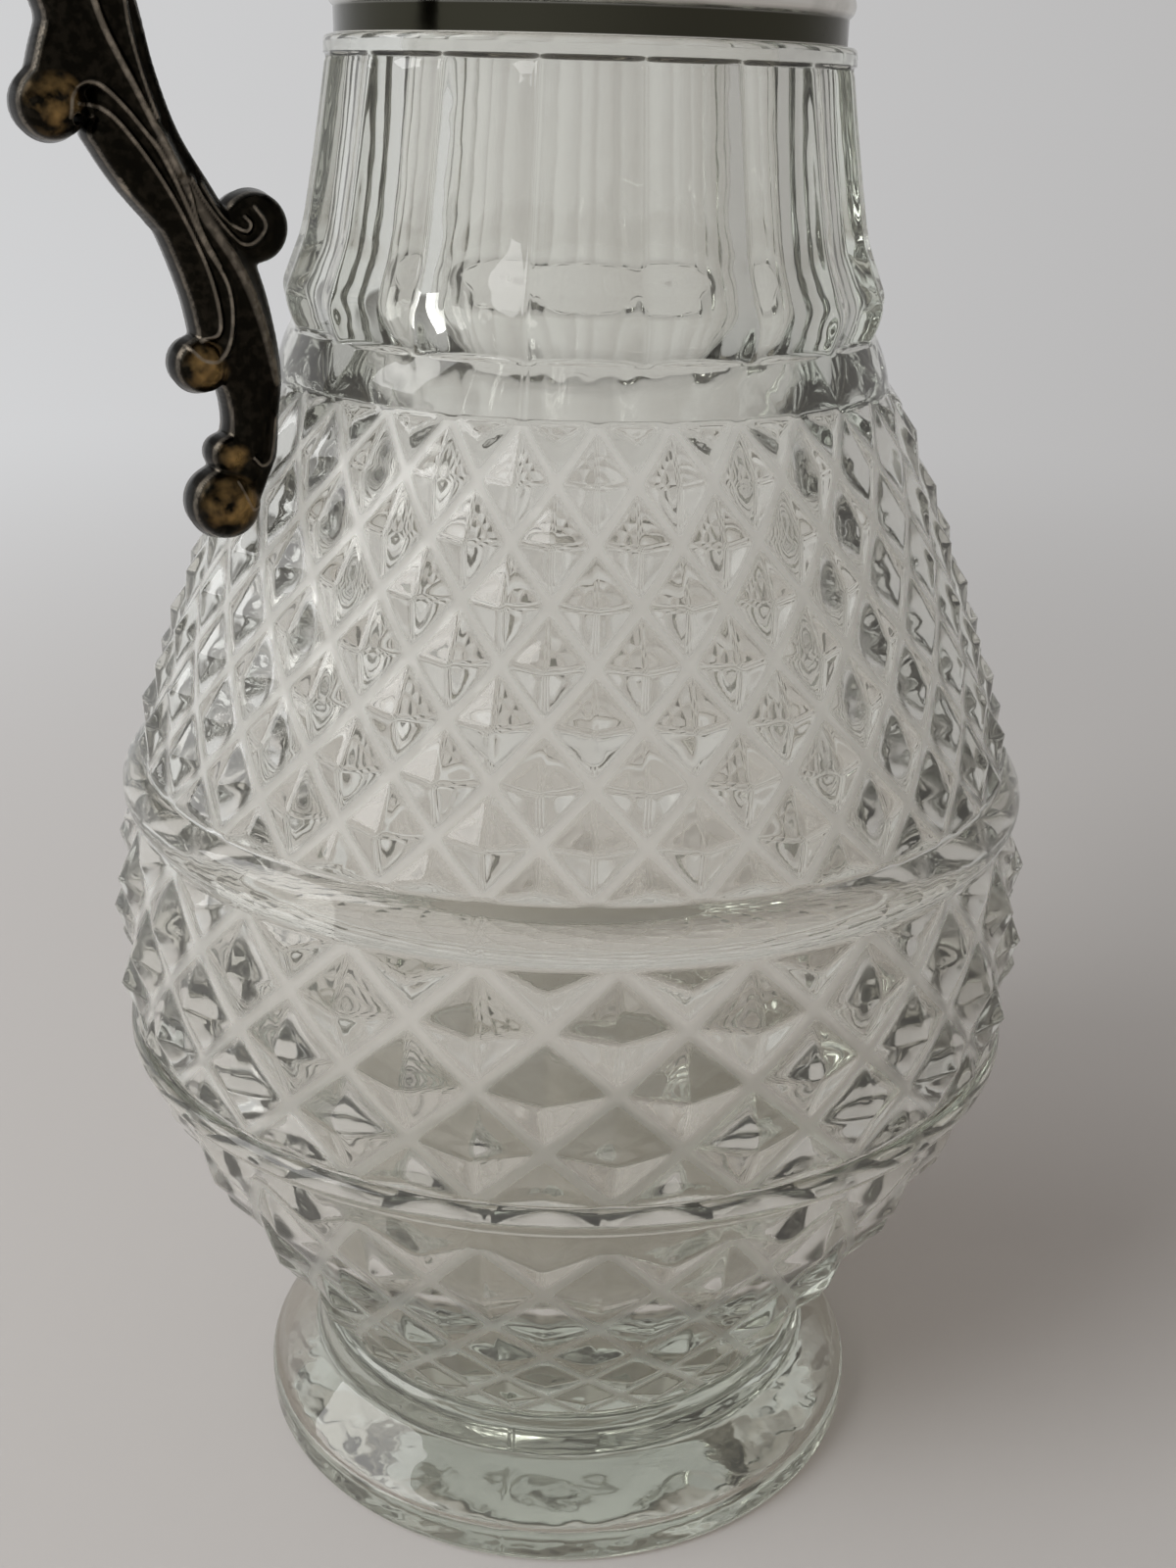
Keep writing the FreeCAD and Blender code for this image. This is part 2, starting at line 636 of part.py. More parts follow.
def leaf_top():
    return HINGE_Z + KNUCKLE_RADIUS


def thumbpiece():
    """Upright scroll lever on the lid leaf."""
    low = leaf_top()
    high = low + THUMB_HEIGHT - THUMB_ROLL_RADIUS
    middle = (low + high) / 2
    half = THUMB_THICKNESS / 2
    front = spline([at(HINGE_X + THUMB_FOOT / 2, low), at(HINGE_X + half - THUMB_SWAY, middle),
                    at(HINGE_X + half, high)])
    back = spline([at(HINGE_X - half, high), at(HINGE_X - half - THUMB_SWAY, middle),
                   at(HINGE_X - THUMB_FOOT / 2, low)])
    ends = [line(at(HINGE_X + half, high), at(HINGE_X - half, high)),
            line(at(HINGE_X - THUMB_FOOT / 2, low), at(HINGE_X + THUMB_FOOT / 2, low))]
    face = Part.Face(Part.Wire([front, ends[0], back, ends[1]]))
    face.translate(FreeCAD.Vector(0, -THUMB_WIDTH / 2, 0))
    blade = face.extrude(FreeCAD.Vector(0, THUMB_WIDTH, 0))
    taper = prism([at(HINGE_X - THUMB_HEIGHT, low), at(HINGE_X + THUMB_HEIGHT, low),
                   at(HINGE_X + THUMB_HEIGHT, high), at(HINGE_X - THUMB_HEIGHT, high)], MOVING_KNUCKLE)
    blade = blade.common(taper)
    return blade.fuse(rod(THUMB_ROLL_RADIUS, THUMB_WIDTH, HINGE_X, high))


def finial_points(shares):
    """Points of the finial's profile from radius and height shares."""
    return [at(FINIAL_RADIUS * radius, LID_TOP + FINIAL_HEIGHT * height) for radius, height in shares]


def finial_top():
    """Turned bud on a ring and a spreading base, with a ball on top and the stud below."""
    base = finial_points(FINIAL_BASE_SHARES)
    bud = finial_points(FINIAL_BUD_SHARES)
    edges = [line(a, b) for a, b in zip(base, base[1:])]
    edges.append(spline(finial_points(FINIAL_COVE_SHARES)))
    edges.append(arc(*finial_points(FINIAL_RING_SHARES)))
    edges.append(spline(bud))
    edges += [line(bud[-1], at(0, bud[-1].z)), line(at(0, bud[-1].z), base[0])]
    ball = Part.makeSphere(FINIAL_TIP_RADIUS, at(0, LID_TOP + FINIAL_HEIGHT - FINIAL_TIP_RADIUS))
    stud = Part.makeCylinder(STUD_RADIUS, STUD_LENGTH, at(0, LID_TOP - STUD_LENGTH))
    return turned(edges).multiFuse([ball, stud])


def finial_washer():
    low = LID_TOP - SHEET - WASHER_THICKNESS
    return tube(STUD_RADIUS + SEAT_GAP, WASHER_RADIUS, low, low + WASHER_THICKNESS)


def finial_nut():
    """Six-sided nut under the washer."""
    low = LID_TOP - SHEET - WASHER_THICKNESS - NUT_HEIGHT
    corners = []
    for index in range(NUT_SIDES):
        angle = 2 * math.pi * index / NUT_SIDES
        corners.append(polar(NUT_RADIUS, angle, low))
    body = Part.Face(Part.makePolygon(corners + corners[:1])).extrude(UP * NUT_HEIGHT)
    return body.cut(Part.makeCylinder(STUD_RADIUS + SEAT_GAP, 2 * NUT_HEIGHT, at(0, low - OVERRUN)))


def glass_clearance():
    """Shoulder of the glass grown by the room that the handle's end keeps from it."""
    shoulder = zones()[2]
    steps = [row / shoulder.rows for row in range(shoulder.rows + 1)]
    outside = [at(shoulder.radius(share) + HANDLE_CLEARANCE, shoulder.height(share)) for share in steps]
    return filled_band([spline(outside)])


def handle_reach():
    """Reach of the handle, so that its end comes to lie just off the shoulder of the glass."""
    shoulder = zones()[2]
    height = HANDLE_HEIGHT * END_CURL_SHARES[1]
    share = (height - shoulder.low) / (shoulder.high - shoulder.low)
    return (shoulder.radius(share) + HANDLE_CLEARANCE) / HANDLE_END_SHARE


def handle_point(reach_share, height_share):
    return FreeCAD.Vector(-handle_reach() * reach_share, 0, HANDLE_HEIGHT * height_share)


def section(centre, along, half_width, half_thickness):
    """Rounded-square cross-section of the casting, square to its path."""
    across = along.cross(FreeCAD.Vector(0, 1, 0))
    across.normalize()
    points = []
    for index in range(SECTION_POINTS):
        angle = 2 * math.pi * index / SECTION_POINTS
        side = math.copysign(abs(math.cos(angle)) ** SECTION_SQUARE_SHARE, math.cos(angle))
        depth = math.copysign(abs(math.sin(angle)) ** SECTION_SQUARE_SHARE, math.sin(angle))
        points.append(centre + across * (half_width * side) + FreeCAD.Vector(0, half_thickness * depth, 0))
    curve = Part.BSplineCurve()
    curve.interpolate(Points=points, PeriodicFlag=True)
    return Part.Wire(curve.toShape())


def swept(points, widths, thicknesses):
    """Loft of sections along a path in the handle's plane."""
    wires = []
    for index, point in enumerate(points):
        before = points[max(index - 1, 0)]
        after = points[min(index + 1, len(points) - 1)]
        wires.append(section(point, after - before, widths[index] / 2, thicknesses[index] / 2))
    return Part.makeLoft(wires, True, False)


def curl(shares, radius, thickness):
    """Drum-shaped scroll end with rounded edges."""
    centre = handle_point(*shares)
    drum = rod(radius, thickness, centre.x, centre.z)
    rims = [e for e in drum.Edges if e.BoundBox.YLength < SEAT_GAP]
    return drum.makeFillet(SCROLL_EDGE, rims)


def handle():
    points = [handle_point(r, h) for r, h in zip(HANDLE_REACH_SHARES, HANDLE_HEIGHT_SHARES)]
    widths = [HANDLE_WIDTH * share for share in HANDLE_WIDTH_SHARES]
    thicknesses = [HANDLE_THICKNESS * share for share in HANDLE_THICKNESS_SHARES]
    horn_points = [handle_point(r, h) for r, h in zip(HORN_REACH_SHARES, HORN_HEIGHT_SHARES)]
    horn_widths = [HANDLE_WIDTH * share for share in HORN_WIDTH_SHARES]
    pieces = [swept(horn_points, horn_widths, [HANDLE_THICKNESS] * len(horn_points))]
    for shares, radius in ((TOP_CURL_SHARES, TOP_CURL_RADIUS), (OUTER_CURL_SHARES, OUTER_CURL_RADIUS),
                           (INNER_CURL_SHARES, INNER_CURL_RADIUS), (MIDDLE_CURL_SHARES, MIDDLE_CURL_RADIUS),
                           (BEAD_CURL_SHARES, BEAD_CURL_RADIUS), (END_CURL_SHARES, END_CURL_RADIUS)):
        pieces.append(curl(shares, radius, HANDLE_THICKNESS))
    return swept(points, widths, thicknesses).multiFuse(pieces).cut([pour_form(0, 0), glass_clearance()])


PIECES = {
    "glass_body": glass_body,
    "plaster_bedding": plaster_bedding,
    "collar": collar,
    "pouring_neck": pouring_neck,
    "rim_wire": rim_wire,
    "hinge_block": hinge_block,
    "hinge_pin": hinge_pin,
    "lid_leaf": lid_leaf,
    "lid": lid,
    "lid_bezel": lid_bezel,
    "thumbpiece": thumbpiece,
    "finial": finial_top,
    "finial_washer": finial_washer,
    "finial_nut": finial_nut,
    "handle": handle,
}

os.makedirs("parts", exist_ok=True)
for node, make in PIECES.items():
    shape = make()
    print(node, len(shape.Solids), shape.isValid(), round(shape.Volume), shape.BoundBox)
    shape.exportStep("parts/" + node + ".step")
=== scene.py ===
import math

import bpy
import numpy as np
from mathutils import Matrix, Vector


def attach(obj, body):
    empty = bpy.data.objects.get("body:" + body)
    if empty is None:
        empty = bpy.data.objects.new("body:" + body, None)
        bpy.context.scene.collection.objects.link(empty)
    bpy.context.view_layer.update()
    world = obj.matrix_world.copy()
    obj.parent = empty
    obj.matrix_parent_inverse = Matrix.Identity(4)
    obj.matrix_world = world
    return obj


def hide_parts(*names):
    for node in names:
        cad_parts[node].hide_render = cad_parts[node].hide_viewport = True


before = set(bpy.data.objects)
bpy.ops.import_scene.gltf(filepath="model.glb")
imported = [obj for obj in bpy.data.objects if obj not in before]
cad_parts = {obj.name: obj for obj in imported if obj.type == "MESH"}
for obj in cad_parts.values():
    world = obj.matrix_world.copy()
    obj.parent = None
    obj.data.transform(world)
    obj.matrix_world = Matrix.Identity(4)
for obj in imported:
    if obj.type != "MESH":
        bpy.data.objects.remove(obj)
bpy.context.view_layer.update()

# Camera: where the photograph was taken from
IMAGE_HEIGHT = 1600
FOCAL_PIXELS = 1823
SENSOR_MM = 36.0
NEAREST_SEEN = 0.01
CAMERA_DISTANCE = 0.22935
CAMERA_HEIGHT = 0.18454
CAMERA_TURN = -34.5
CAMERA_PITCH = 21.3
CAMERA_YAW = 0.54
CAMERA_ROLL = 1.62

# Columns of the glass mesh outside and inside
COLUMNS = 720
INNER_COLUMNS = 360

# Foot and stem of the glass
FOOT_RADIUS = 0.0440
FOOT_EDGE_HEIGHT = 0.0044
FOOT_SHELF_RADIUS = 0.0426
FOOT_SHELF_HEIGHT = 0.0052
STEM_RADIUS = 0.0365
STEM_LOW = 0.0112
STEM_BEVEL = 0.0015
FOOT_ROUNDING = 0.0011
PROFILE_STEP = 0.0015
ROUNDING_STEPS = 6

# Pressed pattern
PATTERN_TURN = 226.0
EDGE_POINT_SHARE = 0.36
GROOVE_ROUND_SHARE = 0.075
RIDGE_ROUND_SHARE = 0.03
COVE_RISE = 0.0022
LIP_EDGE_RISE = 0.0040
LIP_PROUD = 0.0026
LIP_SWELL = 0.0009
LIP_ROUNDING = 0.0005
WAIST_SWELL = 0.0022
SLOPE_SWELL = 0.0003
BAND_STEPS = 16
SEAM_HEIGHT = 0.00012
SEAM_COUNT = 3

# Fluted neck and the plain finish under the collar
NECK_LOW = 0.1570
NECK_HIGH = 0.1875
NECK_RADIUS = 0.0315
NECK_FLUTES = 18
FLUTE_DEPTH = 0.0008
FLUTE_CREST_SHARE = 0.09
FLUTE_END = 0.0002
NECK_HEIGHT_SHARES = (0.0, 0.066, 0.14, 0.23, 0.36, 0.557, 0.787, 1.0)
NECK_RADIUS_SHARES = (1.150, 1.176, 1.187, 1.156, 1.108, 1.070, 1.032, 1.0)
NECK_STEPS = 60
SEAT_HEIGHT = 0.1896
SEAT_ROUNDING = 0.0009
FINISH_RADIUS = 0.0262
FINISH_TOP = 0.2040

# Hollow of the glass, with soft dimples behind the diamonds
WALL = 0.0046
BORE_RADIUS = 0.0224
THROAT_HEIGHT_SHARES = (0.64, 0.30, 0.03)
THROAT_WIDTH_SHARES = (0.02, 0.13, 0.40)
FLOOR_HEIGHT = 0.0260
FLOOR_RADIUS = 0.0200
DISH_RADIUS = FLOOR_RADIUS / 3
DISH_DEPTH = WALL / 6
UNDER_HOLLOW_SHARES = (0.9, 0.55)
BELLY_HOLLOW_SHARES = (0.5,)
SHOULDER_HOLLOW_SHARES = (0.85, 0.5, 0.1)
DIMPLE_DEPTH = 0.0003
HOLLOW_STEPS = 18

# Cast scroll handle: its stem and branches as shares of its reach, height and width
POUR_RADIUS = 0.0290
HANDLE_REACH = 0.06894
HANDLE_HEIGHT = 0.2250
HANDLE_WIDTH = 0.0094
STEM_REACH_SHARES = (
    0.400, 0.478, 0.560, 0.660, 0.785, 0.880, 0.930, 0.938, 0.893, 0.858,
    0.813, 0.760, 0.708, 0.685, 0.664, 0.662, 0.668, 0.684,
)
STEM_HEIGHT_SHARES = (
    0.946, 0.958, 0.970, 0.980, 0.972, 0.951, 0.921, 0.889, 0.850, 0.818,
    0.789, 0.762, 0.729, 0.703, 0.682, 0.662, 0.644, 0.626,
)
STEM_WIDTH_SHARES = (
    1.25, 1.10, 0.98, 0.94, 0.94, 0.96, 0.98, 1.00, 1.00, 0.86,
    0.72, 0.74, 0.88, 0.90, 0.72, 0.58, 0.58, 0.52,
)
STEM_SHARES = (STEM_REACH_SHARES, STEM_HEIGHT_SHARES, STEM_WIDTH_SHARES)
HORN_SHARES = ((0.905, 0.930, 0.944), (0.842, 0.826, 0.810), (0.72, 0.66, 0.62))
FLANK_SHARES = ((0.888, 0.858, 0.830, 0.803), (0.795, 0.782, 0.770, 0.756), (0.26, 0.30, 0.27, 0.10))

# Notch and scroll ends of the handle: shares of its reach and height, then a radius
NOTCH = (0.9300, 0.8010, 0.0006)
TOP_CURL = (0.945, 0.947, 0.0044)
OUTER_BALL = (0.959, 0.8070, 0.0034)
INNER_CURL = (0.648, 0.753, 0.0037)
MIDDLE_BALL = (0.748, 0.689, 0.0029)
BEAD_BALL = (0.708, 0.6445, 0.0019)
END_BALL = (0.717, 0.620, 0.0039)
BALLS = (TOP_CURL, OUTER_BALL, MIDDLE_BALL, BEAD_BALL, END_BALL)

# Section of the casting: a narrow edge band, faces that swell from it, raised lines and sunk fields
CAST_STEP = 0.0002
STEM_STEPS = 6
LINE_STEPS = 8
CAST_MARGIN = 0.006
CAST_FILLET = 0.0005
CAST_HALF = 0.0038
EDGE_HALF = 0.0014
EDGE_BULGE = 0.0003
FACE_SWELL = 0.0026
FIELD_DROP = 0.0005
RIDGE_RISE = 0.0006
BALL_SHARE = 0.78
GLASS_CLEARANCE = 0.00015

# Raised lines of the casting: half width, then reach and height of each line's turning points, in millimetres
MILLIMETRE = 0.001
RAISED_LINES = {
    "outer_rib": (0.55, ((34.0, 216.0), (45.5, 220.5), (54.1, 218.7), (60.7, 213.8), (63.7, 206.0),
                         (63.7, 199.5), (62.4, 194.0), (61.0, 189.0), (57.5, 182.2), (54.1, 175.3))),
    "inner_rib": (0.30, ((35.0, 213.6), (45.5, 217.6), (53.3, 215.9), (58.4, 211.6), (60.7, 205.0),
                         (60.3, 199.0), (58.9, 194.0), (58.4, 189.1), (57.1, 184.0), (55.9, 180.5))),
    "curl_outside": (0.36, ((65.0, 180.4), (64.5, 182.5), (62.3, 183.7), (59.7, 181.8), (56.4, 177.9),
                            (54.6, 174.7))),
    "curl_inside": (0.34, ((64.0, 181.7), (61.4, 181.2), (58.4, 178.1), (54.8, 172.8), (51.7, 166.5),
                           (50.3, 161.8), (50.2, 158.7), (51.9, 157.7))),
    "leaf_outside": (0.34, ((54.6, 174.7), (51.5, 168.0), (49.1, 163.8), (48.7, 159.7), (49.8, 156.0),
                            (52.0, 155.8), (53.5, 157.3))),
    "leaf_vein": (0.28, ((53.2, 173.8), (52.0, 169.7), (49.8, 165.6))),
    "inner_curl_outside": (0.30, ((52.6, 174.6), (50.9, 171.8), (48.0, 168.6), (46.2, 167.8), (44.4, 169.6),
                                  (45.5, 171.7))),
    "inner_curl_inside": (0.28, ((51.4, 174.0), (49.3, 170.9), (46.8, 169.2), (46.1, 169.9), (46.7, 170.7))),
    "flank_line": (0.24, ((59.8, 174.5), (56.3, 169.2), (54.6, 165.6), (53.6, 161.5), (53.7, 158.9))),
    "end_line": (0.28, ((43.8, 149.1), (44.6, 144.8), (45.8, 143.9), (46.8, 144.8))),
    "ball_line": (0.28, ((48.8, 142.3), (47.7, 139.7), (46.8, 139.0), (44.6, 140.1))),
}

# Worn strip, given as the lines are, and pits beside the curls: reach, height and spread in millimetres
WORN_STRIP = (1.0, ((55.6, 178.4), (52.1, 172.0), (47.7, 165.6), (45.2, 159.6), (43.5, 153.0)))
PITS = ((63.2, 182.3, 1.3), (51.2, 156.6, 1.0))
PIT_DEPTH = 0.0016
STRIP_WEAR = 0.85
# Share of the lighter colour on the edges: partly rubbed bare, partly a painted highlight
EDGE_BARE_AND_HIGHLIGHT = 0.75

# Finishes: linear colours, ranges of roughness, and the strength and depth of fine bumps; glass first
WHOLE = (0.0, 1.0)
GLASS_TINT = (0.962, 0.952, 0.922, 1.0)
GLASS_DEEP = (0.58, 0.66, 0.52, 1.0)
GLASS_DENSITY = 9.0
GLASS_SHADE = (0.64, 0.60, 0.57, 1.0)
GLASS_INDEX = 1.51
GLASS_POLISH = 0.03
GROOVE_FILM = 0.28
FILM = (0.74, 0.73, 0.69, 1.0)
FILM_IN_GROOVES = 0.17
FILM_ON_FACES = 0.035
POLISH_EDGE = (0.04, 0.16)
FILM_EDGE = (0.0, 0.09)
GLASS_WAVE_SCALE = 210.0
GLASS_WAVE_DETAIL = 1.0
GLASS_WAVE_BUMP = (0.22, 0.0004)

# Old metal: scale and detail of each noise, and the range of it that counts
OLD_METAL = {
    "Patches": (95.0, 4.0, 0.42, 0.66),
    "Specks": (900.0, 2.0, 0.46, 0.62),
    "Skin": (380.0, 3.0, 0.2, 0.8),
}
TARNISH_INPUTS = ("Tarnish Start", "Tarnish Amount")

# Plate, casting, brass and plaster; a metal's tarnish is given as its start and its amount
SILVER = (0.78, 0.76, 0.71, 1.0)
TARNISH = (0.085, 0.070, 0.045, 1.0)
# Colour of the collar's plain lower band: olive tarnish, darkened as a painted dark reflection
OLIVE_AND_DARK_REFLECTION = (0.055, 0.053, 0.038, 1.0)
COLLAR_UNDERSIDE_HEIGHTS = (0.18962, 0.18975)
COLLAR_DARK_HEIGHTS = (0.1924, 0.1932)
COLLAR_TARNISH = (0.15, 0.34)
COLLAR_ROUGHNESS = (0.12, 0.30)
PLATE_TARNISH = (0.15, 0.30)
PLATE_ROUGHNESS = (0.10, 0.26)
PLATE_BUMP = (0.05, 0.0002)
# Near-black colours of the casting: partly tarnish, partly a painted reflection of a dark room
CAST_DARK = (0.008, 0.007, 0.005, 1.0)
CAST_BROWN = (0.017, 0.014, 0.010, 1.0)
# Lighter colour of the raised lines and edges: partly metal rubbed bare, partly a painted highlight
CAST_BARE_AND_HIGHLIGHT = (0.34, 0.29, 0.23, 1.0)
# Ochre: rubbed brass on the thumbpiece and finial; on the ball tops partly rubbed, partly a painted highlight
CAST_OCHRE = (0.34, 0.21, 0.08, 1.0)
WORN_THROUGH = (0.55, 1.0)
FLECKS = (0.55, 1.0)
# Reach, strength and patches of the ochre on the ball tops, partly a painted highlight
BALL_REACHED = (0.05, 0.90)
BALL_RUB_AND_HIGHLIGHT = (0.0, 0.9)
BALL_PATCHES = (0.35, 0.75)
CAST_ROUGHNESS = (0.24, 0.46)
CAST_BUMP = (0.08, 0.0002)
RUBBED_TARNISH = (0.25, 0.55)
RUBBED_ROUGHNESS = (0.22, 0.40)
BRASS = (0.60, 0.46, 0.24, 1.0)
BRASS_ROUGHNESS = (0.22, 0.42)
PLASTER = (0.72, 0.70, 0.65, 1.0)
PLASTER_SHADE = (0.60, 0.58, 0.53, 1.0)
PLASTER_ROUGHNESS = 0.9
PLASTER_GRAIN = 1400.0
PLASTER_DETAIL = 2.0
PLASTER_BUMP = (0.3, 0.0002)

# Floor and light; a lamp's place is given as right, ahead and up from the camera's side
FLOOR_HALF = 12.0
FLOOR_DROP = 0.0003
FLOOR_NEAR = (0.415, 0.395, 0.380, 1.0)
FLOOR_FADE = (0.05, 0.85)
FLOOR_ROUGHNESS = 0.95
FLOOR_SHINE = 0.1
BACKDROP_LEFT = (0.67, 0.675, 0.685, 1.0)
BACKDROP_RIGHT = (0.43, 0.42, 0.415, 1.0)
BACKDROP_TURN = (-0.50, 0.62)
ROOM_DARK = (0.26, 0.25, 0.24, 1.0)
ROOM_PALE = (0.40, 0.40, 0.40, 1.0)
ROOM_TURN = (-0.75, 0.15)
SIDE_DARK = (0.10, 0.095, 0.09, 1.0)
SIDE_TURN = (-0.36, -0.60)
CEILING_RISE = (0.25, 0.75)
HORIZON_BAND = (0.24, 0.33)
LAMP_AIM = (0.0, 0.0, 0.10)
WINDOW_PLACE = (-1.5, -0.2, 1.2)
WINDOW_SIDE = 1.25
WINDOW_POWER = 17.0
SHADOW_LAMP_PLACE = (-1.12, -0.95, 1.15)
SHADOW_LAMP_SIDE = 0.8
SHADOW_LAMP_POWER = 29.0

# Sockets of a colour mix node
MIX_FACTOR, MIX_FIRST, MIX_SECOND, MIX_RESULT = 0, 6, 7, 2


class Zone:
    """A ring of pressed diamonds: points on a slightly bulged cone, with grooves between them."""

    def __init__(self, low, high, low_radius, high_radius, bulge, relief, count, rows, growth_share=1.0):
        self.low, self.high = low, high
        self.low_radius, self.high_radius = low_radius, high_radius
        self.bulge, self.relief = bulge, relief
        self.count, self.rows = count, rows
        steps = np.array([growth_share ** (i / (rows - 1)) for i in range(rows)])
        self.row_shares = np.concatenate([[0.0], np.cumsum(steps) / steps.sum()])

    def share(self, level):
        """Share of the zone's height at a row count from the bottom."""
        return np.interp(level, np.arange(self.rows + 1), self.row_shares)

    def level(self, height):
        """Row count from the bottom at a height."""
        share = (height - self.low) / (self.high - self.low)
        return np.interp(share, self.row_shares, np.arange(self.rows + 1))

    def radius(self, share):
        """Radius over the points."""
        cone = self.low_radius + (self.high_radius - self.low_radius) * share
        return cone + self.bulge * 4 * share * (1 - share)

    def height(self, share):
        """Height over the table."""
        return self.low + (self.high - self.low) * share

    def depth(self, share):
        """Depth of the grooves, less where the cone is narrow."""
        return self.relief * self.radius(share) / max(self.low_radius, self.high_radius)

    def groove(self, share):
        """Radius at the bottom of the grooves."""
        return self.radius(share) - self.depth(share)


UNDER = Zone(low=0.0170, high=0.0600, low_radius=0.0362, high_radius=0.0604,
             bulge=0.0009, relief=0.0024, count=24, rows=6, growth_share=1.8)
BELLY = Zone(low=0.0668, high=0.0965, low_radius=0.0620, high_radius=0.0610,
             bulge=0.0010, relief=0.0028, count=24, rows=4)
SHOULDER = Zone(low=0.1032, high=0.1512, low_radius=0.0593, high_radius=0.0399,
                bulge=0.0011, relief=0.0024, count=30, rows=8)


# Small helpers for profiles and meshes

def softened(value, width):
    """Absolute value with a rounded bottom."""
    return np.sqrt(value * value + width * width) - width


def lower_of(a, b, width):
    """Smaller of two values, with the corner between them rounded."""
    return (a + b - np.sqrt((a - b) ** 2 + width ** 2)) / 2


def smooth_run(points, steps):
    """Smooth curve through profile points, with a number of steps for each stretch."""
    points = np.array(points, float)
    padded = np.vstack([2 * points[0] - points[1], points, 2 * points[-1] - points[-2]])
    run = []
    for index in range(1, len(points)):
        before, start, end, after = padded[index - 1:index + 3]
        bend = 2 * before - 5 * start + 4 * end - after
        twist = 3 * start - before - 3 * end + after
        for t in np.arange(steps) / steps:
            run.append(0.5 * (2 * start + (end - before) * t + bend * t ** 2 + twist * t ** 3))
    run.append(points[-1])
    return run


def rounded_run(points, rounding):
    """Straight stretches between profile points, with rounded corners and rows close enough to shade well."""
    points = [np.array(p, float) for p in points]
    run = [points[0]]
    for before, corner, after in zip(points, points[1:], points[2:]):
        inward, outward = before - corner, after - corner
        reach_in = min(rounding, np.linalg.norm(inward) / 2)
        reach_out = min(rounding, np.linalg.norm(outward) / 2)
        start = corner + inward / np.linalg.norm(inward) * reach_in
        end = corner + outward / np.linalg.norm(outward) * reach_out
        run += straight(run[-1], start)
        for t in np.arange(1, ROUNDING_STEPS + 1) / ROUNDING_STEPS:
            run.append((1 - t) ** 2 * start + 2 * t * (1 - t) * corner + t ** 2 * end)
    return run + straight(run[-1], points[-1])


def straight(start, end):
    """Evenly spaced points up to the end of a stretch."""
    count = max(1, round(np.linalg.norm(end - start) / PROFILE_STEP))
    return [start + (end - start) * (i + 1) / count for i in range(count)]


def arc_run(low, high, swell, steps):
    """Circular bulge from one profile point to the next."""
    low, high = np.array(low), np.array(high)
    half = np.linalg.norm(high - low) / 2
    along = (high - low) / (2 * half)
    outward = np.array([along[1], -along[0]])
    radius = (half ** 2 + swell ** 2) / (2 * swell)
    sweep = math.atan2(half, radius - swell)
    run = []
    for angle in np.linspace(-sweep, sweep, steps + 1):
        out = radius * math.cos(angle) - (radius - swell)
        run.append((low + high) / 2 + along * radius * math.sin(angle) + outward * out)
    return run


def add_piece(name, points, faces):
    """Smooth-shaded mesh object."""
    mesh = bpy.data.meshes.new(name)
    mesh.from_pydata(points, [], faces)
    mesh.shade_smooth()
    piece = bpy.data.objects.new(name, mesh)
    bpy.context.scene.collection.objects.link(piece)
    return piece


def carry(piece, name, values):
    """Value on each point of a mesh, which a finish reads by its name."""
    attribute = piece.data.attributes.new(name, "FLOAT", "POINT")
    attribute.data.foreach_set("value", values)


# Glass body

def column_angles(count):
    """Angles of the mesh columns, turned with the pattern."""
    return math.radians(PATTERN_TURN) + 2 * math.pi * np.arange(count) / count


def point_height(across, up, rows):
    """Height over the grooves, up to about 1 on a point; the end rows have low three-sided points."""
    rising, falling = (across + up) / 2, (across - up) / 2
    rise = softened(rising - np.round(rising), GROOVE_ROUND_SHARE)
    fall = softened(falling - np.round(falling), GROOVE_ROUND_SHARE)
    height = 2 * lower_of(rise, fall, RIDGE_ROUND_SHARE)
    end_slope = (1 - EDGE_POINT_SHARE) / EDGE_POINT_SHARE
    return np.maximum(np.minimum(height, end_slope * np.minimum(up, rows - up)), 0)


def diamond_rows(zone):
    """Rows of one zone: radii, height and the share of the way up to the points."""
    steps = COLUMNS // (2 * zone.count)
    across = np.arange(COLUMNS) / steps
    rows = []
    for step in range(1, zone.rows * steps):
        up = step / steps
        share = zone.share(up)
        rise = point_height(across, up, zone.rows)
        rows.append((zone.groove(share) + zone.depth(share) * rise, zone.height(share), rise))
    return rows


def plain_rows(run):
    """Rows of a turned stretch of the profile."""
    return [(np.full(COLUMNS, radius), height, np.ones(COLUMNS)) for radius, height in run]


def foot_rows():
    """Flat underside, foot and plain stem."""
    return plain_rows(rounded_run([
        (FLOOR_RADIUS, 0), (FOOT_RADIUS, 0), (FOOT_RADIUS, FOOT_EDGE_HEIGHT),
        (FOOT_SHELF_RADIUS, FOOT_SHELF_HEIGHT), (STEM_RADIUS, STEM_LOW),
        (STEM_RADIUS, UNDER.low - STEM_BEVEL), (UNDER.groove(0), UNDER.low),
    ], FOOT_ROUNDING))


def lip_rows():
    """Undercut lip that hangs over the lower diamonds."""
    low = (UNDER.groove(1), UNDER.high)
    edge = (low[0] + LIP_PROUD, low[1] + LIP_EDGE_RISE)
    high = (BELLY.groove(0), BELLY.low)
    under_side = rounded_run([low, (low[0], low[1] + COVE_RISE), edge], LIP_ROUNDING)
    return plain_rows(under_side + arc_run(edge, high, LIP_SWELL, BAND_STEPS)[1:])


def waist_rows():
    """Swelling band between the belly's diamonds and the shoulder's."""
    low = (BELLY.groove(1), BELLY.high)
    high = (SHOULDER.groove(0), SHOULDER.low)
    return plain_rows(arc_run(low, high, WAIST_SWELL, BAND_STEPS))


def slope_rows():
    """Smooth slope from the top diamonds in to the neck."""
    low = (SHOULDER.groove(1), SHOULDER.high)
    high = (NECK_RADIUS * NECK_RADIUS_SHARES[0], NECK_LOW)
    return plain_rows(arc_run(low, high, SLOPE_SWELL, BAND_STEPS))


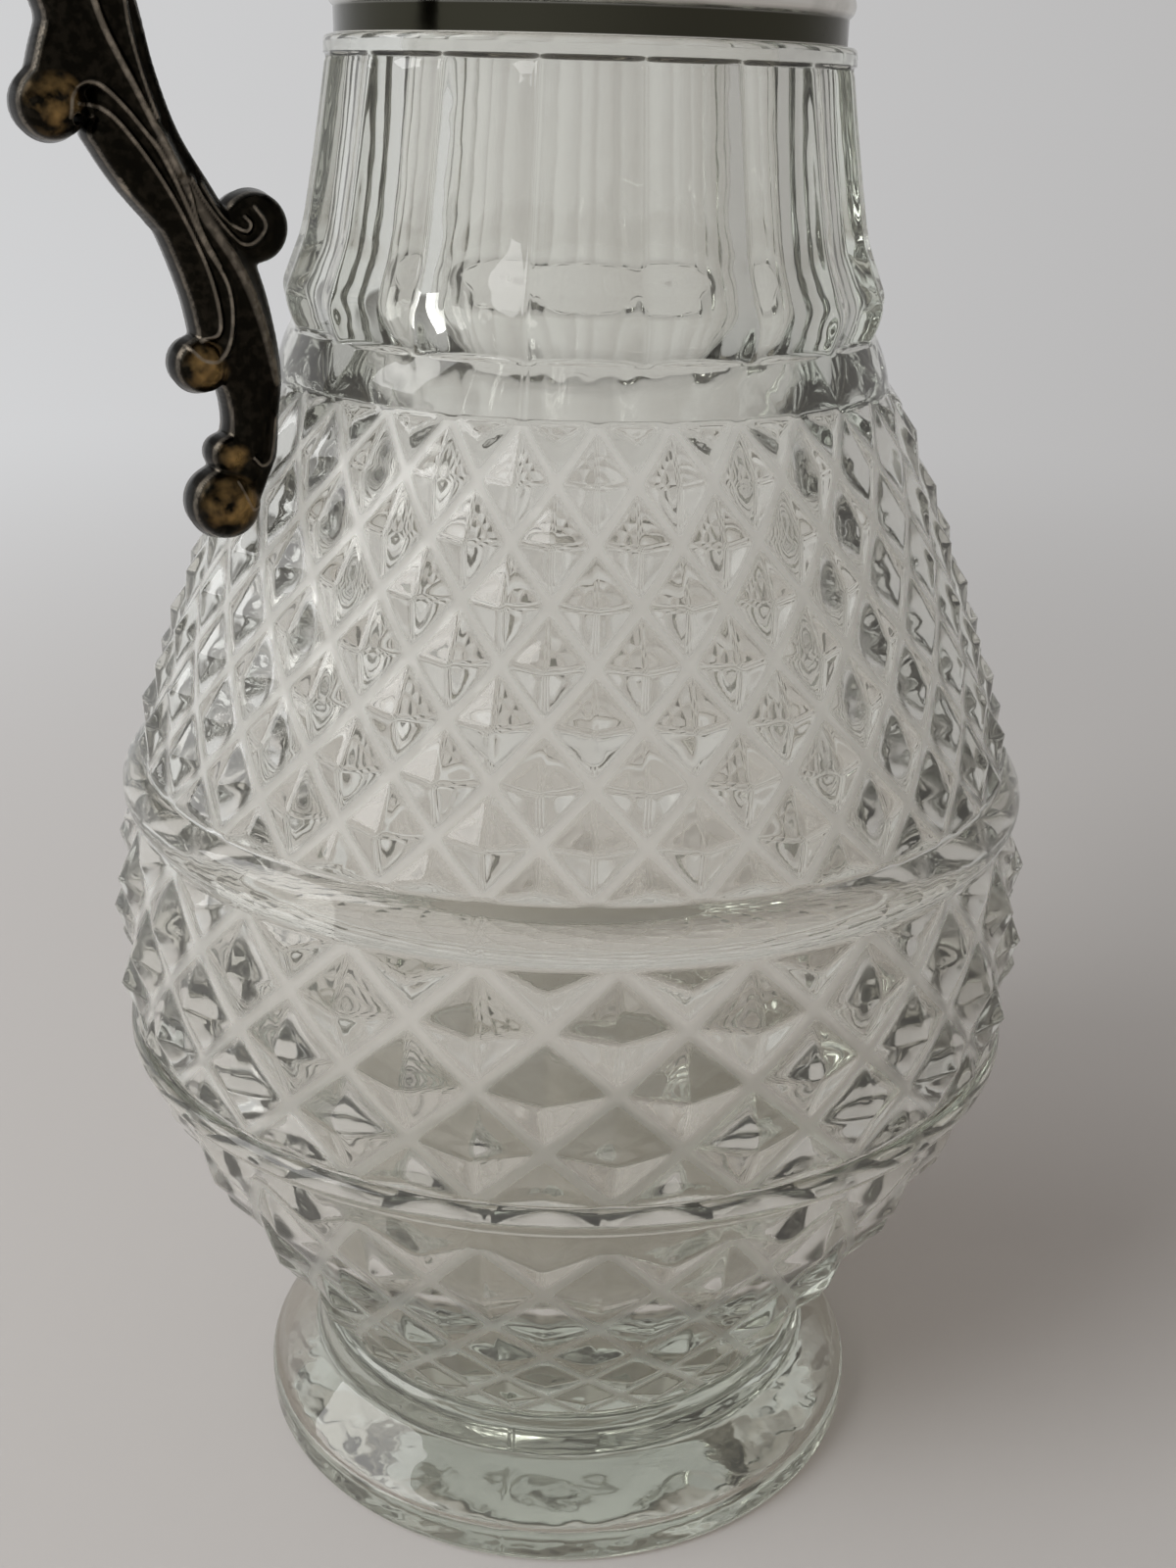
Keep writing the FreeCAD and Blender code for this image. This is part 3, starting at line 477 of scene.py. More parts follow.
def neck_rows():
    """Hollow flutes between rounded crests, with square ends under the seat."""
    across = np.arange(COLUMNS) * NECK_FLUTES / COLUMNS
    from_crest = softened(2 * np.abs(across - np.round(across)), FLUTE_CREST_SHARE)
    hollow = from_crest * (2 - from_crest)
    chord_drop = 1 - math.cos(math.pi / NECK_FLUTES)
    shares = list(zip(NECK_HEIGHT_SHARES, NECK_RADIUS_SHARES))
    profile = smooth_run(shares, NECK_STEPS // len(shares))
    run = [(NECK_LOW + (NECK_HIGH - NECK_LOW) * up, NECK_RADIUS * out) for up, out in profile[1:-1]]
    run += [(NECK_HIGH - FLUTE_END * step, NECK_RADIUS) for step in (3, 2, 1)]
    rows = []
    for height, radius in run:
        drop = (radius * chord_drop + FLUTE_DEPTH) * hollow
        rows.append((radius - drop, height, np.ones(COLUMNS)))
    return rows + plain_rows([(NECK_RADIUS, NECK_HIGH + FLUTE_END * step) for step in (0, 1)])


def finish_rows():
    """Seat and plain end of the glass inside the collar, over the rim and into the bore."""
    run = rounded_run([
        (NECK_RADIUS, NECK_HIGH + FLUTE_END), (NECK_RADIUS, SEAT_HEIGHT), (FINISH_RADIUS, SEAT_HEIGHT),
        (FINISH_RADIUS, FINISH_TOP), (BORE_RADIUS, FINISH_TOP), (BORE_RADIUS, SEAT_HEIGHT),
    ], SEAT_ROUNDING)
    return plain_rows(run[1:])


def with_seams(rows):
    """Fine raised lines where the parts of the mould met."""
    gap = COLUMNS // SEAM_COUNT
    for radii, height, rise in rows:
        radii[::gap] += SEAM_HEIGHT
    return rows


def hollow_run():
    """Profile of the inside, from the bore down to the floor."""
    points = [(BORE_RADIUS, SEAT_HEIGHT)]
    for height_share, width_share in zip(THROAT_HEIGHT_SHARES, THROAT_WIDTH_SHARES):
        points.append((BORE_RADIUS + (NECK_RADIUS - BORE_RADIUS) * width_share,
                       NECK_LOW + (SEAT_HEIGHT - NECK_LOW) * height_share))
    for zone, shares in ((SHOULDER, SHOULDER_HOLLOW_SHARES), (BELLY, BELLY_HOLLOW_SHARES),
                         (UNDER, UNDER_HOLLOW_SHARES)):
        points += [(zone.groove(share) - WALL, zone.height(share)) for share in shares]
    points += [(FLOOR_RADIUS, FLOOR_HEIGHT), (DISH_RADIUS, FLOOR_HEIGHT - DISH_DEPTH)]
    return smooth_run(points, HOLLOW_STEPS)[1:]


def dimples(height):
    """Soft hollows on the inside behind the diamonds, left by blowing the glass into the mould."""
    depth = np.zeros(INNER_COLUMNS)
    for zone in (UNDER, BELLY, SHOULDER):
        if zone.low < height < zone.high:
            up = zone.level(height)
            across = np.arange(INNER_COLUMNS) * 2 * zone.count / INNER_COLUMNS
            wave = np.sin(math.pi * (across + up) / 2) ** 2 * np.sin(math.pi * (across - up) / 2) ** 2
            depth = DIMPLE_DEPTH * wave * min(1.0, up, zone.rows - up)
    return depth


def ring_points(radii, height, angles):
    """One ring of mesh points."""
    levels = np.full(len(angles), height)
    return np.stack([radii * np.cos(angles), radii * np.sin(angles), levels], axis=1).tolist()


def ring_faces(first, second, count):
    """Quads between two rings of vertices."""
    here = np.arange(count)
    after = (here + 1) % count
    return np.stack([first + here, first + after, second + after, second + here], axis=1).tolist()


def outer_rows():
    """Rows of the outside: foot, diamonds, bands, neck, over the rim and into the bore."""
    rows = foot_rows()
    rows += diamond_rows(UNDER) + lip_rows() + diamond_rows(BELLY) + waist_rows()
    rows += diamond_rows(SHOULDER) + slope_rows() + neck_rows()
    return with_seams(rows) + finish_rows()


def bore_faces(outside, inside):
    """Triangles from the last ring of the outside to the hollow's first ring, which has half its points."""
    faces = []
    for i in range(INNER_COLUMNS):
        after = (i + 1) % INNER_COLUMNS
        left, middle, right = outside + 2 * i, outside + 2 * i + 1, outside + 2 * after
        faces.append((left, middle, inside + i))
        faces.append((middle, inside + after, inside + i))
        faces.append((middle, right, inside + after))
    return faces


def glass_body():
    """Closed mesh from the middle of the foot, up the outside and down the hollow to the floor."""
    outer = outer_rows()
    inner = [(radius + dimples(height), height) for radius, height in hollow_run()]

    points = [(0, 0, 0)]
    rises = [1.0]
    faces = []
    angles = column_angles(COLUMNS)
    for radii, height, rise in outer:
        points += ring_points(radii, height, angles)
        rises += rise.tolist()
    for row in range(len(outer) - 1):
        faces += ring_faces(1 + row * COLUMNS, 1 + (row + 1) * COLUMNS, COLUMNS)
    faces += [(0, 1 + (i + 1) % COLUMNS, 1 + i) for i in range(COLUMNS)]

    bore = 1 + (len(outer) - 1) * COLUMNS
    start = len(points)
    angles = column_angles(INNER_COLUMNS)
    for radii, height in inner:
        points += ring_points(radii, height, angles)
        rises += [1.0] * INNER_COLUMNS
    faces += bore_faces(bore, start)
    for row in range(len(inner) - 1):
        faces += ring_faces(start + row * INNER_COLUMNS, start + (row + 1) * INNER_COLUMNS, INNER_COLUMNS)
    last = start + (len(inner) - 1) * INNER_COLUMNS
    points.append((0, 0, inner[-1][1]))
    rises.append(1.0)
    faces += [(last + i, last + (i + 1) % INNER_COLUMNS, len(points) - 1) for i in range(INNER_COLUMNS)]

    piece = add_piece("pressed_glass_body", points, faces)
    carry(piece, "point_rise", rises)
    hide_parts("glass_body")
    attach(piece, "jug")
    piece.data.materials.append(pressed_glass())


# Scroll handle

def run_distance(reach, height, run):
    """Distance from places to a run of points, less the half width that the run carries."""
    nearest = np.full(reach.shape, np.inf)
    for (r0, h0, v0), (r1, h1, v1) in zip(run, run[1:]):
        along, up = r1 - r0, h1 - h0
        t = np.clip(((reach - r0) * along + (height - h0) * up) / (along ** 2 + up ** 2), 0, 1)
        distance = np.hypot(reach - r0 - t * along, height - h0 - t * up) - (v0 + t * (v1 - v0))
        nearest = np.minimum(nearest, distance)
    return nearest


def higher_of(a, b, width):
    """Larger of two values, with a fillet between them."""
    return (a + b + np.sqrt((a - b) ** 2 + width ** 2)) / 2


def stem_run(shares):
    """Smooth run of reach, height and half width along a stem of the casting."""
    points = [(HANDLE_REACH * r, HANDLE_HEIGHT * h, HANDLE_WIDTH * w / 2) for r, h, w in zip(*shares)]
    return smooth_run(points, STEM_STEPS)


def ball_distance(reach, height, ball):
    """Distance from places to the middle of a ball or curl."""
    return np.hypot(reach - HANDLE_REACH * ball[0], height - HANDLE_HEIGHT * ball[1])


def casting_depth(reach, height):
    """How far a place lies inside the handle's outline; below zero outside it."""
    depth = -run_distance(reach, height, stem_run(STEM_SHARES))
    for branch in (HORN_SHARES, FLANK_SHARES):
        depth = higher_of(depth, -run_distance(reach, height, stem_run(branch)), CAST_FILLET)
    for ball in (TOP_CURL, OUTER_BALL, INNER_CURL, MIDDLE_BALL, BEAD_BALL, END_BALL):
        depth = higher_of(depth, ball[2] - ball_distance(reach, height, ball), CAST_FILLET)
    depth = np.minimum(depth, ball_distance(reach, height, NOTCH) - NOTCH[2])
    share = np.clip((height - SHOULDER.low) / (SHOULDER.high - SHOULDER.low), 0, 1)
    off_glass = reach - SHOULDER.radius(share) - GLASS_CLEARANCE
    depth = np.where(height < NECK_LOW, np.minimum(depth, off_glass), depth)
    return np.minimum(depth, reach - POUR_RADIUS)


def line_mask(reach, height, line):
    """Soft band along one raised line, from 1 on it to 0 beside it."""
    half, places = line
    run = smooth_run([(r * MILLIMETRE, h * MILLIMETRE, 0) for r, h in places], LINE_STEPS)
    return np.exp(-(run_distance(reach, height, run) / (half * MILLIMETRE)) ** 2)


def casting_face(reach, height, depth):
    """Half thickness of the handle with its relief and the ball tops, and a mask of lighter raised lines,
    strip and edges, partly rubbed bare and partly a painted highlight.
    """
    lines = np.max([line_mask(reach, height, line) for line in RAISED_LINES.values()], axis=0)
    strip = line_mask(reach, height, WORN_STRIP)
    inward = np.clip(depth / FACE_SWELL, 0, 1)
    half = EDGE_HALF + (CAST_HALF - EDGE_HALF) * np.sqrt(inward * (2 - inward))
    half += (RIDGE_RISE * lines - FIELD_DROP * (1 - strip)) * np.clip(depth / EDGE_HALF, 0, 1)
    for r, h, spread in PITS:
        away = np.hypot(reach - r * MILLIMETRE, height - h * MILLIMETRE) / (spread * MILLIMETRE)
        half -= PIT_DEPTH * np.exp(-away ** 2)
    tops = np.zeros(reach.shape)
    for ball in BALLS:
        reached = np.clip(1 - (ball_distance(reach, height, ball) / ball[2]) ** 2, 0, 1)
        half = np.maximum(half, (EDGE_HALF + BALL_SHARE * ball[2] * np.sqrt(reached)) * (reached > 0))
        tops = np.maximum(tops, reached)
    arris = np.exp(-(depth / EDGE_BULGE) ** 2)
    # Lighter lines and edges: partly rubbed bare, partly a painted highlight where they catch the light
    wear_and_highlight = np.maximum(np.maximum(lines, strip * STRIP_WEAR), arris * EDGE_BARE_AND_HIGHLIGHT)
    return half, wear_and_highlight, tops


def cut_sheet(depth):
    """Cells of a grid cut along the outline: places in grid steps, faces and edges of the outline."""
    places, faces, rim, made = [], [], [], {}

    def corner(key, place):
        """Number of a place, which is kept once."""
        if key not in made:
            made[key] = len(places)
            places.append(place)
        return made[key]

    rows, columns = depth.shape
    for i in range(rows - 1):
        for j in range(columns - 1):
            cell = ((i, j), (i + 1, j), (i + 1, j + 1), (i, j + 1))
            if max(depth[c] for c in cell) <= 0:
                continue
            face = []
            entering = leaving = None
            for a, b in zip(cell, cell[1:] + cell[:1]):
                if depth[a] > 0:
                    face.append(corner(a, a))
                if (depth[a] > 0) != (depth[b] > 0):
                    t = depth[a] / (depth[a] - depth[b])
                    place = (a[0] + t * (b[0] - a[0]), a[1] + t * (b[1] - a[1]))
                    crossing = corner(tuple(sorted((a, b))), place)
                    face.append(crossing)
                    if depth[a] > 0:
                        leaving = crossing
                    elif leaving is None:
                        entering = crossing
                    else:
                        rim.append((leaving, crossing))
                        leaving = None
            if leaving is not None:
                rim.append((leaving, entering))
            faces.append(face)
    return np.array(places), faces, rim


def outward(reach, height):
    """Way straight out of the outline, along the reach and along the height."""
    reach_fall = casting_depth(reach - CAST_STEP, height) - casting_depth(reach + CAST_STEP, height)
    height_fall = casting_depth(reach, height - CAST_STEP) - casting_depth(reach, height + CAST_STEP)
    length = np.hypot(reach_fall, height_fall)
    return reach_fall / length, height_fall / length


def casting_sheet():
    """Flat sheet within the handle's outline: reach and height of its places, its faces and its edges."""
    low_reach = POUR_RADIUS - CAST_STEP
    low_height = HANDLE_HEIGHT * END_BALL[1] - CAST_MARGIN
    reach = np.arange(low_reach, HANDLE_REACH + CAST_MARGIN, CAST_STEP)
    height = np.arange(low_height, HANDLE_HEIGHT + CAST_MARGIN, CAST_STEP)
    grid_reach, grid_height = np.meshgrid(reach, height, indexing="ij")
    places, faces, rim = cut_sheet(casting_depth(grid_reach, grid_height))
    return low_reach + places[:, 0] * CAST_STEP, low_height + places[:, 1] * CAST_STEP, faces, rim


def scroll_handle():
    """Cast handle with swelling faces, raised lines and ball ends, the same on both sides."""
    reach, height, faces, rim = casting_sheet()
    depth = np.maximum(casting_depth(reach, height), 0)
    half, wear_and_highlight, tops = casting_face(reach, height, depth)
    count = len(reach)
    middle = np.array(sorted({index for pair in rim for index in pair}))
    edge = {index: 2 * count + order for order, index in enumerate(middle.tolist())}
    out, up = outward(reach[middle], height[middle])
    edge_reach = reach[middle] + EDGE_BULGE * out
    edge_height = height[middle] + EDGE_BULGE * up
    band = np.stack([-edge_reach, np.zeros(len(middle)), edge_height], axis=1)
    front = np.stack([-reach, -half, height], axis=1)
    back = np.stack([-reach, half, height], axis=1)
    shell = [tuple(reversed(face)) for face in faces]
    shell += [tuple(count + index for index in face) for face in faces]
    shell += [(b, a, edge[a], edge[b]) for a, b in rim]
    shell += [(edge[b], edge[a], count + a, count + b) for a, b in rim]
    piece = add_piece("scroll_handle", np.vstack([front, back, band]).tolist(), shell)
    crisp = {tuple(sorted((a + side, b + side))) for a, b in rim for side in (0, count)}
    for line in piece.data.edges:
        line.use_edge_sharp = tuple(sorted(line.vertices)) in crisp
    for name, values in (("wear_and_highlight", wear_and_highlight), ("ball_top", tops)):
        carry(piece, name, np.concatenate([values, values, np.zeros(len(middle))]))
    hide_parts("handle")
    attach(piece, "jug")
    return piece


# Finishes

def new_finish(name):
    """Material with a Principled shader on its output."""
    material = bpy.data.materials.new(name)
    material.use_nodes = True
    nodes, links = material.node_tree.nodes, material.node_tree.links
    nodes.clear()
    output = nodes.new("ShaderNodeOutputMaterial")
    shader = nodes.new("ShaderNodeBsdfPrincipled")
    links.new(shader.outputs["BSDF"], output.inputs["Surface"])
    return material, nodes, links, shader


def cloud(nodes, links, place, scale, detail):
    """Soft noise laid over the piece."""
    noise = nodes.new("ShaderNodeTexNoise")
    noise.inputs["Scale"].default_value = scale
    noise.inputs["Detail"].default_value = detail
    links.new(place.outputs["Object"], noise.inputs["Vector"])
    return noise.outputs["Fac"]


def blend(nodes, links, factor, first, second):
    """Mix of two colours by a mask; a colour is a value or a socket."""
    mix = nodes.new("ShaderNodeMix")
    mix.data_type = "RGBA"
    links.new(factor, mix.inputs[MIX_FACTOR])
    for socket, colour in ((mix.inputs[MIX_FIRST], first), (mix.inputs[MIX_SECOND], second)):
        if isinstance(colour, tuple):
            socket.default_value = colour
        else:
            links.new(colour, socket)
    return mix.outputs[MIX_RESULT]


def spread_over(nodes, links, value, before, after):
    """Value stretched from one range to another."""
    node = nodes.new("ShaderNodeMapRange")
    for socket, number in zip(("From Min", "From Max", "To Min", "To Max"), (*before, *after)):
        node.inputs[socket].default_value = number
    links.new(value, node.inputs["Value"])
    return node.outputs["Result"]


def both(nodes, links, first, second):
    """Two masks multiplied."""
    node = nodes.new("ShaderNodeMath")
    node.operation = "MULTIPLY"
    node.use_clamp = True
    links.new(first, node.inputs[0])
    links.new(second, node.inputs[1])
    return node.outputs["Value"]


def rough_skin(nodes, links, shader, height, fine_bump):
    """Fine unevenness of a surface."""
    bump = nodes.new("ShaderNodeBump")
    bump.inputs["Strength"].default_value, bump.inputs["Distance"].default_value = fine_bump
    links.new(height, bump.inputs["Height"])
    links.new(bump.outputs["Normal"], shader.inputs["Normal"])


def carried(nodes, name):
    """Value kept on the points of a mesh."""
    node = nodes.new("ShaderNodeAttribute")
    node.attribute_name = name
    return node.outputs["Fac"]


def tarnish_group():
    """Old metal: broad dull patches, fine specks and a slightly uneven skin, shared by all the metals."""
    group = bpy.data.node_groups.new("old_metal", "ShaderNodeTree")
    for name in TARNISH_INPUTS:
        group.interface.new_socket(name, in_out="INPUT", socket_type="NodeSocketFloat")
    for name in (*OLD_METAL, "Tarnish"):
        group.interface.new_socket(name, in_out="OUTPUT", socket_type="NodeSocketFloat")
    nodes, links = group.nodes, group.links
    given = nodes.new("NodeGroupInput")
    output = nodes.new("NodeGroupOutput")
    place = nodes.new("ShaderNodeTexCoord")
    masks = {}
    for name, (scale, detail, low, high) in OLD_METAL.items():
        noise = cloud(nodes, links, place, scale, detail)
        masks[name] = spread_over(nodes, links, noise, (low, high), WHOLE)
        links.new(masks[name], output.inputs[name])
    tarnish = nodes.new("ShaderNodeMapRange")
    links.new(masks["Patches"], tarnish.inputs["Value"])
    links.new(given.outputs["Tarnish Start"], tarnish.inputs["From Min"])
    links.new(given.outputs["Tarnish Amount"], tarnish.inputs["To Max"])
    links.new(tarnish.outputs["Result"], output.inputs["Tarnish"])
    return group


def add_tarnish(nodes, tarnish):
    """The shared old metal, placed in one finish with the tarnish that it has there."""
    node = nodes.new("ShaderNodeGroup")
    node.node_tree = bpy.data.node_groups.get("old_metal") or tarnish_group()
    for name, value in zip(TARNISH_INPUTS, tarnish):
        node.inputs[name].default_value = value
    return node


def pressed_glass():
    """Faintly grey-green glass, polished on the faces, filmed over in the grooves and slightly wavy."""
    material, nodes, links, shader = new_finish("pressed_glass")
    output = nodes["Material Output"]
    shader.inputs["Base Color"].default_value = GLASS_TINT
    shader.inputs["IOR"].default_value = GLASS_INDEX
    shader.inputs["Transmission Weight"].default_value = 1.0
    rise = carried(nodes, "point_rise")
    dullness = spread_over(nodes, links, rise, POLISH_EDGE, (GROOVE_FILM, GLASS_POLISH))
    links.new(dullness, shader.inputs["Roughness"])
    place = nodes.new("ShaderNodeTexCoord")
    wave = cloud(nodes, links, place, GLASS_WAVE_SCALE, GLASS_WAVE_DETAIL)
    rough_skin(nodes, links, shader, wave, GLASS_WAVE_BUMP)
    chalk = nodes.new("ShaderNodeBsdfDiffuse")
    chalk.inputs["Color"].default_value = FILM
    filmed = nodes.new("ShaderNodeMixShader")
    amount = spread_over(nodes, links, rise, FILM_EDGE, (FILM_IN_GROOVES, FILM_ON_FACES))
    links.new(amount, filmed.inputs["Fac"])
    links.new(shader.outputs["BSDF"], filmed.inputs[1])
    links.new(chalk.outputs["BSDF"], filmed.inputs[2])
    clear = nodes.new("ShaderNodeBsdfTransparent")
    clear.inputs["Color"].default_value = GLASS_SHADE
    path = nodes.new("ShaderNodeLightPath")
    mix = nodes.new("ShaderNodeMixShader")
    links.new(path.outputs["Is Shadow Ray"], mix.inputs["Fac"])
    links.new(filmed.outputs["Shader"], mix.inputs[1])
    links.new(clear.outputs["BSDF"], mix.inputs[2])
    links.new(mix.outputs["Shader"], output.inputs["Surface"])
    deep = nodes.new("ShaderNodeVolumeAbsorption")
    deep.inputs["Color"].default_value = GLASS_DEEP
    deep.inputs["Density"].default_value = GLASS_DENSITY
    links.new(deep.outputs["Volume"], output.inputs["Volume"])
    return material


def collar_plate():
    """Plate of the collar, with plaster smeared underneath; its plain lower band is dark and olive, olive
    tarnish darkened by a painted dark reflection.
    """
    material, nodes, links, shader = new_finish("collar_plate")
    old = add_tarnish(nodes, COLLAR_TARNISH)
    place = nodes.new("ShaderNodeTexCoord")
    split = nodes.new("ShaderNodeSeparateXYZ")
    links.new(place.outputs["Object"], split.inputs["Vector"])
    under = spread_over(nodes, links, split.outputs["Z"], COLLAR_UNDERSIDE_HEIGHTS, WHOLE)
    # Mask of the olive band with its painted dark reflection: 0 on the band, 1 above it
    high = spread_over(nodes, links, split.outputs["Z"], COLLAR_DARK_HEIGHTS, WHOLE)
    links.new(under, shader.inputs["Metallic"])
    upper = blend(nodes, links, old.outputs["Tarnish"], SILVER, TARNISH)
    # The lower band takes the olive colour with its painted dark reflection
    plate = blend(nodes, links, high, OLIVE_AND_DARK_REFLECTION, upper)
    links.new(blend(nodes, links, under, PLASTER, plate), shader.inputs["Base Color"])
    dullness = spread_over(nodes, links, old.outputs["Patches"], WHOLE, COLLAR_ROUGHNESS)
    links.new(dullness, shader.inputs["Roughness"])
    rough_skin(nodes, links, shader, old.outputs["Skin"], PLATE_BUMP)
    return material


def silver_plate():
    """Bright plate with brown tarnish creeping over it in patches."""
    material, nodes, links, shader = new_finish("silver_plate")
    old = add_tarnish(nodes, PLATE_TARNISH)
    shader.inputs["Metallic"].default_value = 1.0
    links.new(blend(nodes, links, old.outputs["Tarnish"], SILVER, TARNISH), shader.inputs["Base Color"])
    dullness = spread_over(nodes, links, old.outputs["Patches"], WHOLE, PLATE_ROUGHNESS)
    links.new(dullness, shader.inputs["Roughness"])
    rough_skin(nodes, links, shader, old.outputs["Skin"], PLATE_BUMP)
    return material


def dark_casting():
    """Almost black casting, rubbed through on its raised lines and yellowed on the ball ends. The black is
    partly tarnish and partly a painted dark reflection; the lighter lines and edges are partly rubbing and
    partly a painted highlight; the ochre on the balls is partly rubbing and partly a painted highlight.
    """
    material, nodes, links, shader = new_finish("dark_casting")
    old = add_tarnish(nodes, WHOLE)
    shader.inputs["Metallic"].default_value = 1.0
    # Raised lines and edges made lighter: partly rubbed bare, partly a painted highlight
    bare_and_highlight = spread_over(nodes, links, carried(nodes, "wear_and_highlight"), WORN_THROUGH, WHOLE)
    bare_and_highlight = both(nodes, links, bare_and_highlight, spread_over(nodes, links, old.outputs["Specks"], WHOLE, FLECKS))
    # Ochre on the ball tops: partly rubbed, partly a painted highlight
    rubbed_and_highlight = spread_over(nodes, links, carried(nodes, "ball_top"), BALL_REACHED, BALL_RUB_AND_HIGHLIGHT)
    rubbed_and_highlight = both(nodes, links, rubbed_and_highlight, spread_over(nodes, links, old.outputs["Skin"], BALL_PATCHES, WHOLE))
    # Near-black base: partly tarnish, partly a painted dark reflection
    dark = blend(nodes, links, old.outputs["Specks"], CAST_DARK, CAST_BROWN)
    rubbed = blend(nodes, links, rubbed_and_highlight, dark, CAST_OCHRE)
    links.new(blend(nodes, links, bare_and_highlight, rubbed, CAST_BARE_AND_HIGHLIGHT), shader.inputs["Base Color"])
    links.new(spread_over(nodes, links, bare_and_highlight, WHOLE, CAST_ROUGHNESS), shader.inputs["Roughness"])
    rough_skin(nodes, links, shader, old.outputs["Skin"], CAST_BUMP)
    return material


def rubbed_casting():
    """The same dark casting on the thumbpiece and the finial, rubbed brown in patches by handling."""
    material, nodes, links, shader = new_finish("rubbed_casting")
    old = add_tarnish(nodes, RUBBED_TARNISH)
    shader.inputs["Metallic"].default_value = 1.0
    # The same near-black base, partly a painted dark reflection
    dark = blend(nodes, links, old.outputs["Specks"], CAST_DARK, CAST_BROWN)
    links.new(blend(nodes, links, old.outputs["Tarnish"], dark, CAST_OCHRE), shader.inputs["Base Color"])
    dullness = spread_over(nodes, links, old.outputs["Patches"], WHOLE, RUBBED_ROUGHNESS)
    links.new(dullness, shader.inputs["Roughness"])
    rough_skin(nodes, links, shader, old.outputs["Skin"], CAST_BUMP)
    return material


def bare_brass():
    """Turned brass gone dull in patches."""
    material, nodes, links, shader = new_finish("bare_brass")
    old = add_tarnish(nodes, WHOLE)
    shader.inputs["Metallic"].default_value = 1.0
    links.new(blend(nodes, links, old.outputs["Tarnish"], BRASS, TARNISH), shader.inputs["Base Color"])
    dullness = spread_over(nodes, links, old.outputs["Specks"], WHOLE, BRASS_ROUGHNESS)
    links.new(dullness, shader.inputs["Roughness"])
    return material


def setting_plaster():
    """Dry grainy plaster."""
    material, nodes, links, shader = new_finish("setting_plaster")
    shader.inputs["Roughness"].default_value = PLASTER_ROUGHNESS
    place = nodes.new("ShaderNodeTexCoord")
    grain = cloud(nodes, links, place, PLASTER_GRAIN, PLASTER_DETAIL)
    links.new(blend(nodes, links, grain, PLASTER, PLASTER_SHADE), shader.inputs["Base Color"])
    rough_skin(nodes, links, shader, grain, PLASTER_BUMP)
    return material


def dress_nodes(handle):
    """Finish for the handle and for every piece that keeps its CAD shape."""
    plate, rubbed, brass, plaster = silver_plate(), rubbed_casting(), bare_brass(), setting_plaster()
    handle.data.materials.append(dark_casting())
    finishes = {
        "collar": collar_plate(), "pouring_neck": plate, "rim_wire": plate, "hinge_block": plate,
        "lid_leaf": plate, "lid": plate, "lid_bezel": plate, "thumbpiece": rubbed, "finial": rubbed,
        "hinge_pin": brass, "finial_washer": brass, "finial_nut": brass, "plaster_bedding": plaster,
    }
    for node, finish in finishes.items():
        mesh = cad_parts[node].data
        mesh.materials.clear()
        mesh.materials.append(finish)


# Floor, light and camera

def side_of(nodes, links, place):
    """A direction split into right, ahead and up as seen from the camera's side of the jug."""
    turn = nodes.new("ShaderNodeMapping")
    turn.vector_type = "POINT"
    turn.inputs["Rotation"].default_value = (0, 0, -math.radians(CAMERA_TURN))
    even = nodes.new("ShaderNodeVectorMath")
    even.operation = "NORMALIZE"
    split = nodes.new("ShaderNodeSeparateXYZ")
    links.new(place, turn.inputs["Vector"])
    links.new(turn.outputs["Vector"], even.inputs[0])
    links.new(even.outputs["Vector"], split.inputs["Vector"])
    return split


def backdrop(nodes, links, side):
    """Pale grey backdrop, lighter at the left."""
    across = spread_over(nodes, links, side.outputs["X"], BACKDROP_TURN, WHOLE)
    return blend(nodes, links, across, BACKDROP_LEFT, BACKDROP_RIGHT)


def floor_sheet():
    """Pale cloth-grey floor that runs into the backdrop far from the jug."""
    corners = [(x * FLOOR_HALF, y * FLOOR_HALF, -FLOOR_DROP) for x, y in ((-1, -1), (1, -1), (1, 1), (-1, 1))]
    piece = add_piece("floor", corners, [(0, 1, 2, 3)])
    material, nodes, links, shader = new_finish("pale_cloth")
    output = nodes["Material Output"]
    shader.inputs["Base Color"].default_value = FLOOR_NEAR
    shader.inputs["Roughness"].default_value = FLOOR_ROUGHNESS
    shader.inputs["Specular IOR Level"].default_value = FLOOR_SHINE
    place = nodes.new("ShaderNodeTexCoord")
    length = nodes.new("ShaderNodeVectorMath")
    length.operation = "LENGTH"
    links.new(place.outputs["Object"], length.inputs[0])
    far = nodes.new("ShaderNodeMapRange")
    far.interpolation_type = "SMOOTHSTEP"
    far.inputs["From Min"].default_value, far.inputs["From Max"].default_value = FLOOR_FADE
    links.new(length.outputs["Value"], far.inputs["Value"])
    glow = nodes.new("ShaderNodeEmission")
    links.new(backdrop(nodes, links, side_of(nodes, links, place.outputs["Object"])), glow.inputs["Color"])
    mix = nodes.new("ShaderNodeMixShader")
    links.new(far.outputs["Result"], mix.inputs["Fac"])
    links.new(shader.outputs["BSDF"], mix.inputs[1])
    links.new(glow.outputs["Emission"], mix.inputs[2])
    links.new(mix.outputs["Shader"], output.inputs["Surface"])
    piece.data.materials.append(material)


def lamp(name, seen_place, side, power):
    """Square lamp that faces the jug, placed as seen from the camera's side."""
    light = bpy.data.lights.new(name, "AREA")
    light.shape = "SQUARE"
    light.size = side
    light.energy = power
    piece = bpy.data.objects.new(name, light)
    place = Matrix.Rotation(math.radians(CAMERA_TURN), 4, "Z") @ Vector(seen_place)
    piece.location = place
    piece.rotation_euler = (Vector(LAMP_AIM) - place).to_track_quat("-Z", "Y").to_euler()
    bpy.context.scene.collection.objects.link(piece)
    return piece


